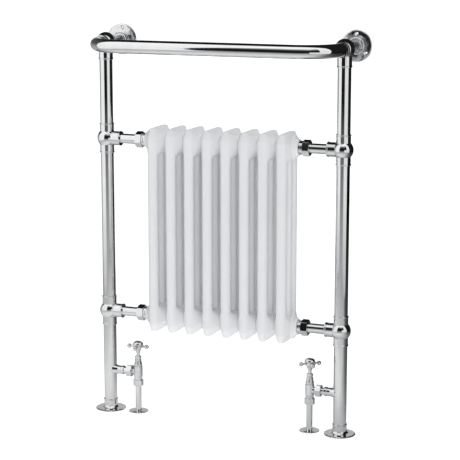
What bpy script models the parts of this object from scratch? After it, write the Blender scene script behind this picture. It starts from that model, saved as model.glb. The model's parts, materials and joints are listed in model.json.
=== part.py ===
"""Traditional floor-standing towel radiator with two crosshead valves.

Two tubular posts stand on floor flanges, carry a towel rail bent into a U and hold a
radiator insert of eight painted sections between them.  A valve stands inside each
post and feeds it through a short side outlet.

Frame: metres, X to the right as seen from the front, +Y into the wall, +Z up.  The
origin lies on the floor below the middle of the whole object.
"""

import math

import bmesh
import bpy
from mathutils import Matrix, Vector

MM = 0.001
CLEARANCE = 0.3 * MM
CUT_MARGIN = 1 * MM

# Driving dimensions -------------------------------------------------------------
POST_SPACING = 600 * MM
BALL_AXIS_HEIGHT = 920 * MM
UPPER_TEE_HEIGHT = 687 * MM
LOWER_TEE_HEIGHT = 255 * MM
VALVE_OUTLET_HEIGHT = 102 * MM
VALVE_SPACING = 448.4 * MM
RAIL_REACH = 116 * MM
WALL_DISTANCE = 98 * MM
RAIL_BEND_RADIUS = 85 * MM

# Post tubes, sockets and balls --------------------------------------------------
POST_RADIUS = 15.9 * MM
POST_BORE = 13.9 * MM
SOCKET_RADIUS = POST_RADIUS + CLEARANCE
COLLAR_RADIUS = 17.3 * MM
BALL_RADIUS = 23.7 * MM
WATERWAY_RADIUS = 11.5 * MM
TEE_HALF_LENGTH = 36.5 * MM
TOP_BALL_DROP = 42 * MM
SOCKET_DEPTH = 14 * MM
FRONT_COLLAR_REACH = 30 * MM
FRONT_SOCKET_DEPTH = 12 * MM
REAR_COLLAR_RADIUS = 15 * MM
REAR_COLLAR_REACH = 32 * MM
REAR_SOCKET_DEPTH = 12 * MM

# Floor flange of a post ---------------------------------------------------------
FLOOR_FLANGE_RADIUS = 38 * MM
FLOOR_FLANGE_RIM = 2.2 * MM
FLOOR_FLANGE_LIP = 3.3 * MM
FLOOR_FLANGE_HOLE = 11 * MM
FLOOR_COLLAR_TOP = 26 * MM

# Wall bracket -------------------------------------------------------------------
WALL_FLANGE_RADIUS = 38 * MM
WALL_FLANGE_RIM = 2.5 * MM
WALL_FLANGE_FACE = 4.5 * MM
WALL_BOSS_RADIUS = 20 * MM
WALL_BOSS_HEIGHT = 7.5 * MM
WALL_HUB_RADIUS = 16.8 * MM
WALL_HUB_HEIGHT = 18 * MM
STAY_RADIUS = 11.8 * MM
SCREW_CIRCLE_RADIUS = 29 * MM
SCREW_HOLE_RADIUS = 2.6 * MM
COUNTERSINK_RADIUS = 5 * MM
SCREW_HOLE_ANGLES = (87, 207, 327)

# Connectors between posts and insert ---------------------------------------------
SIDE_COLLAR_RADIUS = 17 * MM
SIDE_COLLAR_REACH = 38 * MM
CONNECTOR_RADIUS = 11.8 * MM
CONNECTOR_BORE = 9.5 * MM
UNION_NUT_FLATS = 35 * MM
UNION_NUT_TURN = {"left": 18, "right": 12}
UNION_NUT_INNER_X = 203.5 * MM
UNION_NUT_OUTER_X = 220.5 * MM
BUSH_FLANGE_RADIUS = 16.5 * MM
BUSH_NOSE_RADIUS = 14 * MM
BUSH_NOSE_LENGTH = 9 * MM
BUSH_SPIGOT_RADIUS = 12 * MM
BUSH_SPIGOT_LENGTH = 12 * MM
BUSH_BORE = 8 * MM

# Radiator sections ----------------------------------------------------------------
SECTION_COUNT = 8
SECTION_PITCH = 46.6 * MM
SECTION_TUBE_RADIUS = 12.4 * MM
TUBE_ROW_OFFSET = 38 * MM
HUB_RADIUS = 20.5 * MM
HEAD_RISE = 33 * MM
HEAD_DROP = 29 * MM
HEAD_SHOULDER_RISE = 14 * MM
HEAD_CROWN_RADIUS = 5 * MM
END_BOSS_LENGTH = 8 * MM
HUB_BORE = 12.3 * MM
TUBE_BORE = 10.6 * MM
TUBE_BORE_OVERSHOOT = 2.7 * MM
HEAD_WALL = 2.0 * MM

# Valve, measured along its vertical axis ------------------------------------------
VALVE_BODY_RADIUS = 10.8 * MM
VALVE_BODY_TOP = 118 * MM
VALVE_BODY_BOTTOM = 82 * MM
VALVE_THREAD_RADIUS = 9.6 * MM
VALVE_THREAD_BOTTOM = 75 * MM
VALVE_CHAMBER_RADIUS = 8.8 * MM
VALVE_SEAT_HEIGHT = 96.5 * MM
VALVE_PORT_RADIUS = 5 * MM
PIPE_RADIUS = 7.5 * MM
PIPE_BORE = 6.8 * MM
PIPE_TOP = 88 * MM
PIPE_NUT_FLATS = 22.5 * MM
PIPE_NUT_BOTTOM = 66.5 * MM
ROSE_RADIUS = 24.5 * MM
ROSE_RIM = 1.2 * MM
ROSE_CROWN = 4 * MM
BONNET_BASE_RADIUS = 9.9 * MM
BONNET_TOP_RADIUS = 7.9 * MM
BONNET_TOP = 134.4 * MM
BONNET_NOSE_RADIUS = 8.5 * MM
BONNET_NOSE_BOTTOM = 110 * MM
PACKING_RADIUS = 6.3 * MM
PACKING_BOTTOM = 127 * MM
GLAND_TOP = 142.8 * MM
SPINDLE_RADIUS = 4 * MM
SPINDLE_BOTTOM = 106.8 * MM
SPINDLE_BORE = SPINDLE_RADIUS + CLEARANCE
CLACK_RADIUS = 7.6 * MM
CLACK_THICKNESS = 3.2 * MM
CLACK_STEM_RADIUS = 3 * MM

# Crosshead handle -----------------------------------------------------------------
ARM_HEIGHT = 167 * MM
HUB_NECK_HEIGHT = 151 * MM
HUB_BOTTOM_RADIUS = 4.8 * MM
HUB_TOP_RADIUS = 9.6 * MM
HUB_TOP = 171 * MM
ARM_REACH = 22.6 * MM
ARM_BALL_RADIUS = 5.5 * MM
ARM_ROOT_RADIUS = 3.4 * MM
ARM_TIP_RADIUS = 2.6 * MM
CAP_RADIUS = 12.3 * MM
CAP_TOP = 181 * MM
CAP_PIN_RADIUS = 3 * MM
CAP_PIN_LENGTH = 6 * MM
HANDLE_REST_ANGLE = {"left": 4, "right": 36}

# Valve side union, measured from the valve's axis towards the post -----------------
BRANCH_RADIUS = 8 * MM
BRANCH_END = 24.5 * MM
SIDE_NUT_FLATS = 27 * MM
SIDE_NUT_TURN = 8
SIDE_NUT_START = 15.5 * MM
SIDE_NUT_END = 29.5 * MM
TAIL_SHOULDER_END = 26.8 * MM
TAIL_NECK_RADIUS = 6.7 * MM
TAIL_COLLAR_RADIUS = 8.8 * MM
TAIL_SPIGOT_RADIUS = 8 * MM
TAIL_END = 53 * MM
TAIL_BORE = 5 * MM
OUTLET_RADIUS = 10.3 * MM
OUTLET_RING_RADIUS = 11.2 * MM
OUTLET_RING_LENGTH = 7 * MM
OUTLET_REACH = 38.5 * MM
OUTLET_SOCKET_DEPTH = 17.5 * MM

# Air vent on the back of the left upper ball --------------------------------------
VENT_BOSS_RADIUS = 6 * MM
VENT_BOSS_REACH = 28 * MM
VENT_HOLE_DEPTH = 8 * MM
VENT_SCREW_RADIUS = 2.7 * MM
VENT_HEAD_SIZE = 5 * MM
VENT_HEAD_LENGTH = 4 * MM

# Derived positions ----------------------------------------------------------------
POST_PLANE_Y = (RAIL_REACH + POST_RADIUS - WALL_DISTANCE) / 2
POST_X = POST_SPACING / 2
VALVE_X = VALVE_SPACING / 2
VALVE_TO_POST = POST_X - VALVE_X
INSERT_HALF_WIDTH = SECTION_COUNT * SECTION_PITCH / 2
BUSH_FACE_X = INSERT_HALF_WIDTH + END_BOSS_LENGTH

COARSE_STEPS = 16
FINE_STEPS = 12
SMALL_STEPS = 8
SHARP_ANGLE = math.radians(35)
MERGE_DISTANCE = 0.00001

SIDES = {"left": -1, "right": 1}
INWARD_ROTATION = {"left": (0, math.pi / 2, 0), "right": (0, -math.pi / 2, 0)}
FORWARD_ROTATION = (math.pi / 2, 0, 0)
BACKWARD_ROTATION = (-math.pi / 2, 0, 0)

CHROME_COLOUR = (0.74, 0.75, 0.77, 1)
PAINT_COLOUR = (0.86, 0.88, 0.91, 1)
BRASS_COLOUR = (0.72, 0.55, 0.28, 1)


# Scene helpers ----------------------------------------------------------------------
def clear_scene():
    """Removes every object and every collection left in the file."""
    for old in list(bpy.data.objects):
        bpy.data.objects.remove(old, do_unlink=True)
    for old in list(bpy.data.collections):
        bpy.data.collections.remove(old)


def new_collection(name):
    collection = bpy.data.collections.new(name)
    bpy.context.scene.collection.children.link(collection)
    return collection


def new_material(name, colour, metallic, roughness):
    """A Principled material with one colour."""
    material = bpy.data.materials.new(name)
    material.use_nodes = True
    shader = material.node_tree.nodes["Principled BSDF"]
    shader.inputs["Base Color"].default_value = colour
    shader.inputs["Metallic"].default_value = metallic
    shader.inputs["Roughness"].default_value = roughness
    material.diffuse_color = colour
    return material


def chrome(name):
    return new_material(name + "_chrome", CHROME_COLOUR, 1.0, 0.06)


def paint(name):
    return new_material(name + "_paint", PAINT_COLOUR, 0.0, 0.3)


def brass(name):
    return new_material(name + "_brass", BRASS_COLOUR, 1.0, 0.25)


def place(obj, location, rotation=(0, 0, 0)):
    """Puts an object in the posts' frame, whose plane y = 0 holds both posts."""
    obj.parent = FRAME_ORIGIN
    obj.location = location
    obj.rotation_euler = rotation
    return obj


def shade(obj):
    obj.data.shade_smooth()
    obj.data.set_sharp_from_angle(angle=SHARP_ANGLE)


def make_part(name, mesh, material):
    """Adds one sub-part to the object's own collection."""
    obj = bpy.data.objects.new(name, mesh)
    obj.data.materials.append(material)
    PART_COLLECTION.objects.link(obj)
    return obj


def make_cutter(name, mesh):
    """Adds a helper that only shapes a sub-part."""
    obj = bpy.data.objects.new(name, mesh)
    obj.hide_render = True
    obj.display_type = "WIRE"
    CUTTER_COLLECTION.objects.link(obj)
    return obj


def combine(obj, other, operation):
    modifier = obj.modifiers.new(operation.lower() + "_" + other.name, "BOOLEAN")
    modifier.operation = operation
    modifier.object = other


# Shape helpers ----------------------------------------------------------------------
def arc(centre_height, radius, start_height, end_height, steps=5):
    """Points of a ball's outline between two heights, as (radius, height)."""
    first = math.acos(max(-1.0, min(1.0, (start_height - centre_height) / radius)))
    last = math.acos(max(-1.0, min(1.0, (end_height - centre_height) / radius)))
    points = []
    for step in range(steps + 1):
        angle = first + (last - first) * step / steps
        points.append((radius * math.sin(angle), centre_height + radius * math.cos(angle)))
    return points


def profile_mesh(name, points, closed):
    """An outline in the XZ plane that a Screw modifier turns about Z."""
    mesh = bpy.data.meshes.new(name)
    vertices = [(radius, 0, height) for radius, height in points]
    edges = [(index, index + 1) for index in range(len(points) - 1)]
    if closed:
        edges.append((len(points) - 1, 0))
    mesh.from_pydata(vertices, edges, [])
    return mesh


def turn(obj, steps):
    modifier = obj.modifiers.new("turned", "SCREW")
    modifier.axis = "Z"
    modifier.steps = steps
    modifier.render_steps = steps
    modifier.use_merge_vertices = True
    modifier.merge_threshold = MERGE_DISTANCE
    modifier.use_smooth_shade = True


def turned_part(name, points, material, steps=FINE_STEPS, closed=True):
    """A sub-part turned about its local Z from an outline listed top to bottom."""
    obj = make_part(name, profile_mesh(name, points, closed), material)
    turn(obj, steps)
    return obj


def turned_cutter(name, points, steps=FINE_STEPS):
    """A solid helper turned from an outline that starts and ends on the axis."""
    obj = make_cutter(name, profile_mesh(name, points, False))
    turn(obj, steps)
    return obj


def bar_points(sections):
    """Outline of a solid stepped bar; sections are (radius, top, bottom) from the top."""
    points = [(0, sections[0][1])]
    for radius, top, bottom in sections:
        points += [(radius, top), (radius, bottom)]
    points.append((0, sections[-1][2]))
    return points


def ring_points(outer, inner, top, bottom):
    return [(outer, top), (outer, bottom), (inner, bottom), (inner, top)]


def hexagon_mesh(name, flats, length, turn):
    """A hexagonal bar along Z, turned about it, chamfered, with its middle at z = 0."""
    mesh = bpy.data.meshes.new(name)
    shape = bmesh.new()
    corner_radius = flats / math.sqrt(3)
    chamfer = (corner_radius - flats / 2) * 0.8
    rings = (
        (-length / 2, corner_radius - chamfer),
        (-length / 2 + chamfer, corner_radius),
        (length / 2 - chamfer, corner_radius),
        (length / 2, corner_radius - chamfer),
    )
    bmesh.ops.create_cone(
        shape, cap_ends=True, segments=6, radius1=rings[0][1], radius2=rings[0][1], depth=length
    )
    sides = [edge for edge in shape.edges if abs(edge.verts[0].co.z - edge.verts[1].co.z) > length / 2]
    bmesh.ops.subdivide_edges(shape, edges=sides, cuts=2)
    middle = [vert for vert in shape.verts if abs(vert.co.z) < length * 0.4]
    for vert in middle:
        radial = Vector((vert.co.x, vert.co.y, 0)).normalized() * corner_radius
        height = rings[2][0] if vert.co.z > 0 else rings[1][0]
        vert.co = (radial.x, radial.y, height)
    bmesh.ops.rotate(shape, verts=shape.verts, matrix=Matrix.Rotation(math.radians(turn), 3, "Z"))
    shape.to_mesh(mesh)
    shape.free()
    return mesh


def hexagon_nut(name, flats, length, bore_points, material, turn=0):
    """A hexagonal nut about its local Z, bored by a turned outline."""
    nut = make_part(name, hexagon_mesh(name, flats, length, turn), material)
    bore = turned_cutter(name + "_bore", bore_points)
    combine(nut, bore, "DIFFERENCE")
    return nut, bore


# Posts --------------------------------------------------------------------------------
def make_post_tubes(side):
    """The three tube lengths of a post, between the floor flange and the top ball."""
    post_x = SIDES[side] * POST_X
    engaged = TEE_HALF_LENGTH - SOCKET_DEPTH + CLEARANCE
    spans = {
        "lower": (FLOOR_FLANGE_LIP + CLEARANCE, LOWER_TEE_HEIGHT - engaged),
        "middle": (LOWER_TEE_HEIGHT + engaged, UPPER_TEE_HEIGHT - engaged),
        "upper": (
            UPPER_TEE_HEIGHT + engaged,
            BALL_AXIS_HEIGHT - TOP_BALL_DROP + SOCKET_DEPTH - CLEARANCE,
        ),
    }
    for level in ("middle", "upper"):
        bottom, top = spans[level]
        name = f"{side}_post_{level}"
        outline = ring_points(POST_RADIUS, POST_BORE, top, bottom)
        place(turned_part(name, outline, chrome(name), COARSE_STEPS), (post_x, 0, 0))
    make_lower_post(side, spans["lower"])


def make_lower_post(side, span):
    """The lowest tube, with the side outlet that takes the valve's tail."""
    bottom, top = span
    post_x = SIDES[side] * POST_X
    name = f"{side}_post_lower"
    post = turned_part(name, bar_points([(POST_RADIUS, top, bottom)]), chrome(name), COARSE_STEPS, False)
    place(post, (post_x, 0, 0))
    ring_start = OUTLET_REACH - OUTLET_RING_LENGTH
    outlet_outline = bar_points(
        [(OUTLET_RING_RADIUS, OUTLET_REACH, ring_start), (OUTLET_RADIUS, ring_start, 0)]
    )
    outlet = turned_cutter(name + "_outlet", outlet_outline)
    place(outlet, (post_x, 0, VALVE_OUTLET_HEIGHT), INWARD_ROTATION[side])
    combine(post, outlet, "UNION")
    margin = 2 * MM
    bore_outline = bar_points([(POST_BORE, top + margin, bottom - margin)])
    bore = turned_cutter(name + "_bore", bore_outline, COARSE_STEPS)
    place(bore, (post_x, 0, 0))
    combine(post, bore, "DIFFERENCE")
    socket_bottom = OUTLET_REACH - OUTLET_SOCKET_DEPTH
    socket = turned_cutter(
        name + "_socket",
        bar_points(
            [
                (TAIL_SPIGOT_RADIUS + CLEARANCE, OUTLET_REACH + margin, socket_bottom),
                (TAIL_BORE, socket_bottom, 0),
            ]
        ),
    )
    place(socket, (post_x, 0, VALVE_OUTLET_HEIGHT), INWARD_ROTATION[side])
    combine(post, socket, "DIFFERENCE")
    shade(post)


def make_floor_flange(side):
    """A round foot with a socket that the post stands in."""
    name = f"{side}_floor_flange"
    slope_height = FLOOR_FLANGE_RIM + 2 * MM
    outline = [
        (SOCKET_RADIUS, FLOOR_COLLAR_TOP),
        (COLLAR_RADIUS, FLOOR_COLLAR_TOP),
        (COLLAR_RADIUS, slope_height + 2.5 * MM),
        (COLLAR_RADIUS + 2.5 * MM, slope_height),
        (FLOOR_FLANGE_RADIUS - 1.5 * MM, FLOOR_FLANGE_RIM),
        (FLOOR_FLANGE_RADIUS, FLOOR_FLANGE_RIM - 1 * MM),
        (FLOOR_FLANGE_RADIUS, 0),
        (FLOOR_FLANGE_HOLE, 0),
        (FLOOR_FLANGE_HOLE, FLOOR_FLANGE_LIP),
        (SOCKET_RADIUS, FLOOR_FLANGE_LIP),
    ]
    flange = turned_part(name, outline, chrome(name), COARSE_STEPS)
    place(flange, (SIDES[side] * POST_X, 0, 0))


def ball_outline(top_length, bottom_length):
    """A ball with a collar above and below; a length of zero leaves that collar out."""
    shoulder = math.sqrt(BALL_RADIUS**2 - COLLAR_RADIUS**2)
    points = []
    if top_length:
        points += [(0, top_length), (COLLAR_RADIUS, top_length)]
        points += arc(0, BALL_RADIUS, shoulder, -shoulder)
    else:
        points += arc(0, BALL_RADIUS, BALL_RADIUS, -shoulder, 7)
    points += [(COLLAR_RADIUS, -bottom_length), (0, -bottom_length)]
    return points


def make_ball_tee(side, level, height):
    """A ball joint that takes two post tubes and one connector tube."""
    name = f"{side}_{level}_ball_tee"
    centre = (SIDES[side] * POST_X, 0, height)
    tee = turned_part(name, ball_outline(TEE_HALF_LENGTH, TEE_HALF_LENGTH), chrome(name), COARSE_STEPS, False)
    place(tee, centre)
    collar = turned_cutter(name + "_side", bar_points([(SIDE_COLLAR_RADIUS, SIDE_COLLAR_REACH, 0)]))
    place(collar, centre, INWARD_ROTATION[side])
    combine(tee, collar, "UNION")
    if name == "left_upper_ball_tee":
        add_vent_boss(tee, centre)
    margin = 2 * MM
    step = TEE_HALF_LENGTH - SOCKET_DEPTH
    bore = turned_cutter(
        name + "_bore",
        bar_points(
            [
                (SOCKET_RADIUS, TEE_HALF_LENGTH + margin, step),
                (WATERWAY_RADIUS, step, -step),
                (SOCKET_RADIUS, -step, -TEE_HALF_LENGTH - margin),
            ]
        ),
        COARSE_STEPS,
    )
    place(bore, centre)
    combine(tee, bore, "DIFFERENCE")
    side_step = SIDE_COLLAR_REACH - SOCKET_DEPTH
    socket = turned_cutter(
        name + "_socket",
        bar_points(
            [
                (CONNECTOR_RADIUS + CLEARANCE, SIDE_COLLAR_REACH + margin, side_step),
                (CONNECTOR_BORE, side_step, 0),
            ]
        ),
    )
    place(socket, centre, INWARD_ROTATION[side])
    combine(tee, socket, "DIFFERENCE")
    shade(tee)


def add_vent_boss(tee, centre):
    """A small threaded boss on the back of a ball, for the air vent."""
    boss_outline = bar_points([(VENT_BOSS_RADIUS, VENT_BOSS_REACH, WATERWAY_RADIUS)])
    boss = turned_cutter("air_vent_boss", boss_outline, SMALL_STEPS)
    place(boss, centre, BACKWARD_ROTATION)
    combine(tee, boss, "UNION")
    hole_bottom = VENT_BOSS_REACH - VENT_HOLE_DEPTH
    hole = turned_cutter(
        "air_vent_hole",
        bar_points(
            [
                (VENT_SCREW_RADIUS + CLEARANCE, VENT_BOSS_REACH + CUT_MARGIN, hole_bottom),
                (VENT_SCREW_RADIUS / 2, hole_bottom, 0),
            ]
        ),
        SMALL_STEPS,
    )
    place(hole, centre, BACKWARD_ROTATION)
    combine(tee, hole, "DIFFERENCE")


def make_air_vent_screw():
    """A round screw with a square head, seated in the vent boss."""
    name = "air_vent_screw"
    length = VENT_HOLE_DEPTH - CLEARANCE
    outline = bar_points([(VENT_SCREW_RADIUS, 0.5 * MM, -length)])
    screw = turned_part(name, outline, brass(name), SMALL_STEPS, False)
    head_mesh = bpy.data.meshes.new(name + "_head")
    shape = bmesh.new()
    bmesh.ops.create_cube(shape, size=1)
    bmesh.ops.scale(shape, verts=shape.verts, vec=(VENT_HEAD_SIZE, VENT_HEAD_SIZE, VENT_HEAD_LENGTH))
    shape.to_mesh(head_mesh)
    shape.free()
    head = make_cutter(name + "_head", head_mesh)
    location = (-POST_X, VENT_BOSS_REACH, UPPER_TEE_HEIGHT)
    place(screw, location, BACKWARD_ROTATION)
    head_centre = (-POST_X, VENT_BOSS_REACH + CLEARANCE + VENT_HEAD_LENGTH / 2, UPPER_TEE_HEIGHT)
    place(head, head_centre, BACKWARD_ROTATION)
    combine(screw, head, "UNION")
    shade(screw)


def make_top_ball(side):
    """The ball that ends a post and takes the towel rail and the wall stay."""
    name = f"{side}_top_ball"
    centre = (SIDES[side] * POST_X, 0, BALL_AXIS_HEIGHT)
    ball = turned_part(name, ball_outline(0, TOP_BALL_DROP), chrome(name), COARSE_STEPS, False)
    place(ball, centre)
    front = turned_cutter(name + "_front", bar_points([(COLLAR_RADIUS, FRONT_COLLAR_REACH, 0)]), COARSE_STEPS)
    place(front, centre, FORWARD_ROTATION)
    combine(ball, front, "UNION")
    rear = turned_cutter(name + "_rear", bar_points([(REAR_COLLAR_RADIUS, REAR_COLLAR_REACH, 0)]))
    place(rear, centre, BACKWARD_ROTATION)
    combine(ball, rear, "UNION")
    margin = 2 * MM
    step = TOP_BALL_DROP - SOCKET_DEPTH
    post_socket = turned_cutter(
        name + "_post_socket",
        bar_points([(WATERWAY_RADIUS, 0, -step), (SOCKET_RADIUS, -step, -TOP_BALL_DROP - margin)]),
        COARSE_STEPS,
    )
    place(post_socket, centre)
    combine(ball, post_socket, "DIFFERENCE")
    front_step = FRONT_COLLAR_REACH - FRONT_SOCKET_DEPTH
    rail_socket = turned_cutter(
        name + "_rail_socket",
        bar_points(
            [
                (SOCKET_RADIUS, FRONT_COLLAR_REACH + margin, front_step),
                (WATERWAY_RADIUS - 1 * MM, front_step, -WATERWAY_RADIUS / 2),
            ]
        ),
        FINE_STEPS,
    )
    place(rail_socket, centre, FORWARD_ROTATION)
    combine(ball, rail_socket, "DIFFERENCE")
    rear_step = REAR_COLLAR_REACH - REAR_SOCKET_DEPTH
    stay_outline = bar_points([(STAY_RADIUS + CLEARANCE, REAR_COLLAR_REACH + margin, rear_step)])
    stay_socket = turned_cutter(name + "_stay_socket", stay_outline, COARSE_STEPS)
    place(stay_socket, centre, BACKWARD_ROTATION)
    combine(ball, stay_socket, "DIFFERENCE")
    shade(ball)


# Towel rail -----------------------------------------------------------------------------
def rail_route():
    """Centre line of the rail from the left ball, round both bends, to the right ball."""
    end_y = -(FRONT_COLLAR_REACH - FRONT_SOCKET_DEPTH) - CLEARANCE
    bend_steps = 9
    right_half = []
    for step in range(bend_steps + 1):
        angle = math.pi / 2 * step / bend_steps
        bend_x = POST_X - RAIL_BEND_RADIUS + RAIL_BEND_RADIUS * math.sin(angle)
        bend_y = -RAIL_REACH + RAIL_BEND_RADIUS - RAIL_BEND_RADIUS * math.cos(angle)
        right_half.append((bend_x, bend_y))
    right_half.append((POST_X, end_y))
    left_half = [(-x, y) for x, y in reversed(right_half)]
    return left_half + right_half


def make_towel_rail():
    name = "towel_rail"
    curve = bpy.data.curves.new(name, "CURVE")
    curve.dimensions = "3D"
    curve.bevel_depth = POST_RADIUS
    curve.bevel_resolution = 4
    curve.use_fill_caps = True
    route = rail_route()
    spline = curve.splines.new("POLY")
    spline.points.add(len(route) - 1)
    for point, (x, y) in zip(spline.points, route):
        point.co = (x, y, 0, 1)
    rail = bpy.data.objects.new(name, curve)
    rail.data.materials.append(chrome(name))
    PART_COLLECTION.objects.link(rail)
    place(rail, (0, 0, BALL_AXIS_HEIGHT))


# Wall brackets ----------------------------------------------------------------------------
def make_wall_bracket(side):
    """A stay with a stepped round flange, drilled for three countersunk screws."""
    name = f"{side}_wall_bracket"
    wall_point = (SIDES[side] * POST_X, WALL_DISTANCE, BALL_AXIS_HEIGHT)
    stay_end = WALL_DISTANCE - (REAR_COLLAR_REACH - REAR_SOCKET_DEPTH) - CLEARANCE
    outline = [
        (0, stay_end),
        (STAY_RADIUS, stay_end),
        (STAY_RADIUS, WALL_HUB_HEIGHT),
        (WALL_HUB_RADIUS - 1.5 * MM, WALL_HUB_HEIGHT),
        (WALL_HUB_RADIUS, WALL_HUB_HEIGHT - 1.5 * MM),
        (WALL_HUB_RADIUS, WALL_BOSS_HEIGHT),
        (WALL_BOSS_RADIUS, WALL_BOSS_HEIGHT),
        (WALL_BOSS_RADIUS, WALL_FLANGE_FACE),
        (WALL_FLANGE_RADIUS - 2 * MM, WALL_FLANGE_FACE - 0.5 * MM),
        (WALL_FLANGE_RADIUS, WALL_FLANGE_RIM),
        (WALL_FLANGE_RADIUS, 0),
        (0, 0),
    ]
    bracket = turned_part(name, outline, chrome(name), COARSE_STEPS, False)
    place(bracket, wall_point, FORWARD_ROTATION)
    margin = 1 * MM
    sink_depth = COUNTERSINK_RADIUS - SCREW_HOLE_RADIUS
    hole_outline = [
        (0, WALL_FLANGE_FACE + margin),
        (COUNTERSINK_RADIUS + margin, WALL_FLANGE_FACE + margin),
        (SCREW_HOLE_RADIUS, WALL_FLANGE_FACE - sink_depth),
        (SCREW_HOLE_RADIUS, -margin),
        (0, -margin),
    ]
    for number, degrees in enumerate(SCREW_HOLE_ANGLES, start=1):
        angle = math.radians(degrees)
        hole = turned_cutter(f"{name}_screw_hole_{number}", hole_outline, SMALL_STEPS)
        hole_x = wall_point[0] + SCREW_CIRCLE_RADIUS * math.cos(angle)
        hole_z = wall_point[2] + SCREW_CIRCLE_RADIUS * math.sin(angle)
        place(hole, (hole_x, WALL_DISTANCE, hole_z), FORWARD_ROTATION)
        combine(bracket, hole, "DIFFERENCE")
    shade(bracket)


# Connectors ---------------------------------------------------------------------------------
def make_connector(side, level, height):
    """Tube, union nut and bush that join a ball tee to the insert."""
    sign = SIDES[side]
    rotation = INWARD_ROTATION[side]
    nose_end = UNION_NUT_INNER_X + BUSH_NOSE_LENGTH
    tube_outer_x = POST_X - SIDE_COLLAR_REACH + SOCKET_DEPTH - CLEARANCE
    tube_inner_x = nose_end + CLEARANCE
    tube_length = tube_outer_x - tube_inner_x

    name = f"{side}_{level}_connector_tube"
    outline = ring_points(CONNECTOR_RADIUS, CONNECTOR_BORE, tube_length, 0)
    tube = turned_part(name, outline, chrome(name))
    place(tube, (sign * tube_outer_x, 0, height), rotation)

    name = f"{side}_{level}_union_nut"
    nut_length = UNION_NUT_OUTER_X - UNION_NUT_INNER_X
    half = nut_length / 2
    counterbore_end = half - BUSH_NOSE_LENGTH - CLEARANCE
    bore_outline = bar_points(
        [
            (BUSH_NOSE_RADIUS + CLEARANCE, half + CUT_MARGIN, counterbore_end),
            (CONNECTOR_RADIUS + CLEARANCE, counterbore_end, -half - CUT_MARGIN),
        ]
    )
    turn = -sign * UNION_NUT_TURN[side]
    nut, bore = hexagon_nut(name, UNION_NUT_FLATS, nut_length, bore_outline, chrome(name), turn)
    for piece in (nut, bore):
        place(piece, (sign * (UNION_NUT_INNER_X + half), 0, height), rotation)
    shade(nut)

    name = f"{side}_{level}_bush"
    flange_length = UNION_NUT_INNER_X - BUSH_FACE_X - 2 * CLEARANCE
    nose_length = BUSH_NOSE_LENGTH + CLEARANCE
    outline = [
        (BUSH_BORE, flange_length + BUSH_SPIGOT_LENGTH),
        (BUSH_SPIGOT_RADIUS, flange_length + BUSH_SPIGOT_LENGTH),
        (BUSH_SPIGOT_RADIUS, flange_length),
        (BUSH_FLANGE_RADIUS, flange_length),
        (BUSH_FLANGE_RADIUS, 0),
        (BUSH_NOSE_RADIUS, 0),
        (BUSH_NOSE_RADIUS, -nose_length),
        (BUSH_BORE, -nose_length),
    ]
    bush = turned_part(name, outline, chrome(name))
    place(bush, (sign * (UNION_NUT_INNER_X - CLEARANCE), 0, height), rotation)


# Radiator sections ---------------------------------------------------------------------------
def head_mesh(name, direction, wall=0):
    """A head whose crown points along direction (+1 up, -1 down), about the hub's centre.

    It is the convex skin around the hub and the ends of the front and back tubes.  With
    a wall thickness it is the hollow inside that skin.
    """
    mesh = bpy.data.meshes.new(name)
    shape = bmesh.new()
    half_width = SECTION_PITCH / 2 - CLEARANCE / 2 - wall
    hub = HUB_RADIUS - wall
    ring_count = FINE_STEPS
    for side_x in (-half_width, half_width):
        for step in range(ring_count):
            angle = 2 * math.pi * step / ring_count
            shape.verts.new((side_x, hub * math.cos(angle), hub * math.sin(angle)))
    tube_count = SMALL_STEPS
    foot = SECTION_TUBE_RADIUS - wall
    crown = HEAD_CROWN_RADIUS - wall / 2
    rings = (
        (foot, -HEAD_DROP + wall),
        (foot, HEAD_SHOULDER_RISE - wall / 2),
        (crown, HEAD_RISE - wall),
    )
    for row_y in (-TUBE_ROW_OFFSET, TUBE_ROW_OFFSET):
        for step in range(tube_count):
            angle = 2 * math.pi * step / tube_count
            for radius, height in rings:
                ring_x = radius * math.cos(angle)
                ring_y = row_y + radius * math.sin(angle)
                shape.verts.new((ring_x, ring_y, direction * height))
    result = bmesh.ops.convex_hull(shape, input=shape.verts)
    unused = [item for item in result["geom_interior"] if isinstance(item, bmesh.types.BMVert)]
    bmesh.ops.delete(shape, geom=unused, context="VERTS")
    bmesh.ops.dissolve_limit(
        shape, angle_limit=math.radians(1), verts=shape.verts, edges=shape.edges, delimit={"NORMAL"}
    )
    bmesh.ops.recalc_face_normals(shape, faces=shape.faces)
    shape.to_mesh(mesh)
    shape.free()
    return mesh


def make_section(number):
    """One section: three tubes between a lower and an upper head."""
    name = f"radiator_section_{number}"
    centre_x = (number - (SECTION_COUNT + 1) / 2) * SECTION_PITCH
    section = make_part(name, head_mesh(name, 1), paint(name))
    place(section, (centre_x, 0, UPPER_TEE_HEIGHT))
    lower_head = make_cutter(name + "_lower_head", head_mesh(name + "_lower_head", -1))
    place(lower_head, (centre_x, 0, LOWER_TEE_HEIGHT))
    combine(section, lower_head, "UNION")
    for row, row_y in enumerate((-TUBE_ROW_OFFSET, 0, TUBE_ROW_OFFSET)):
        overlap = 4 * MM
        top = UPPER_TEE_HEIGHT - HEAD_DROP + overlap
        bottom = LOWER_TEE_HEIGHT + HEAD_DROP - overlap
        tube_radius = SECTION_TUBE_RADIUS - 0.2 * MM
        tube = turned_cutter(f"{name}_tube_{row}", bar_points([(tube_radius, top, bottom)]), SMALL_STEPS)
        place(tube, (centre_x, row_y, 0))
        combine(section, tube, "UNION")
    if number == 1:
        add_end_bosses(section, SIDES["left"])
    if number == SECTION_COUNT:
        add_end_bosses(section, SIDES["right"])
    hollow_section(section, centre_x)
    shade(section)


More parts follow.
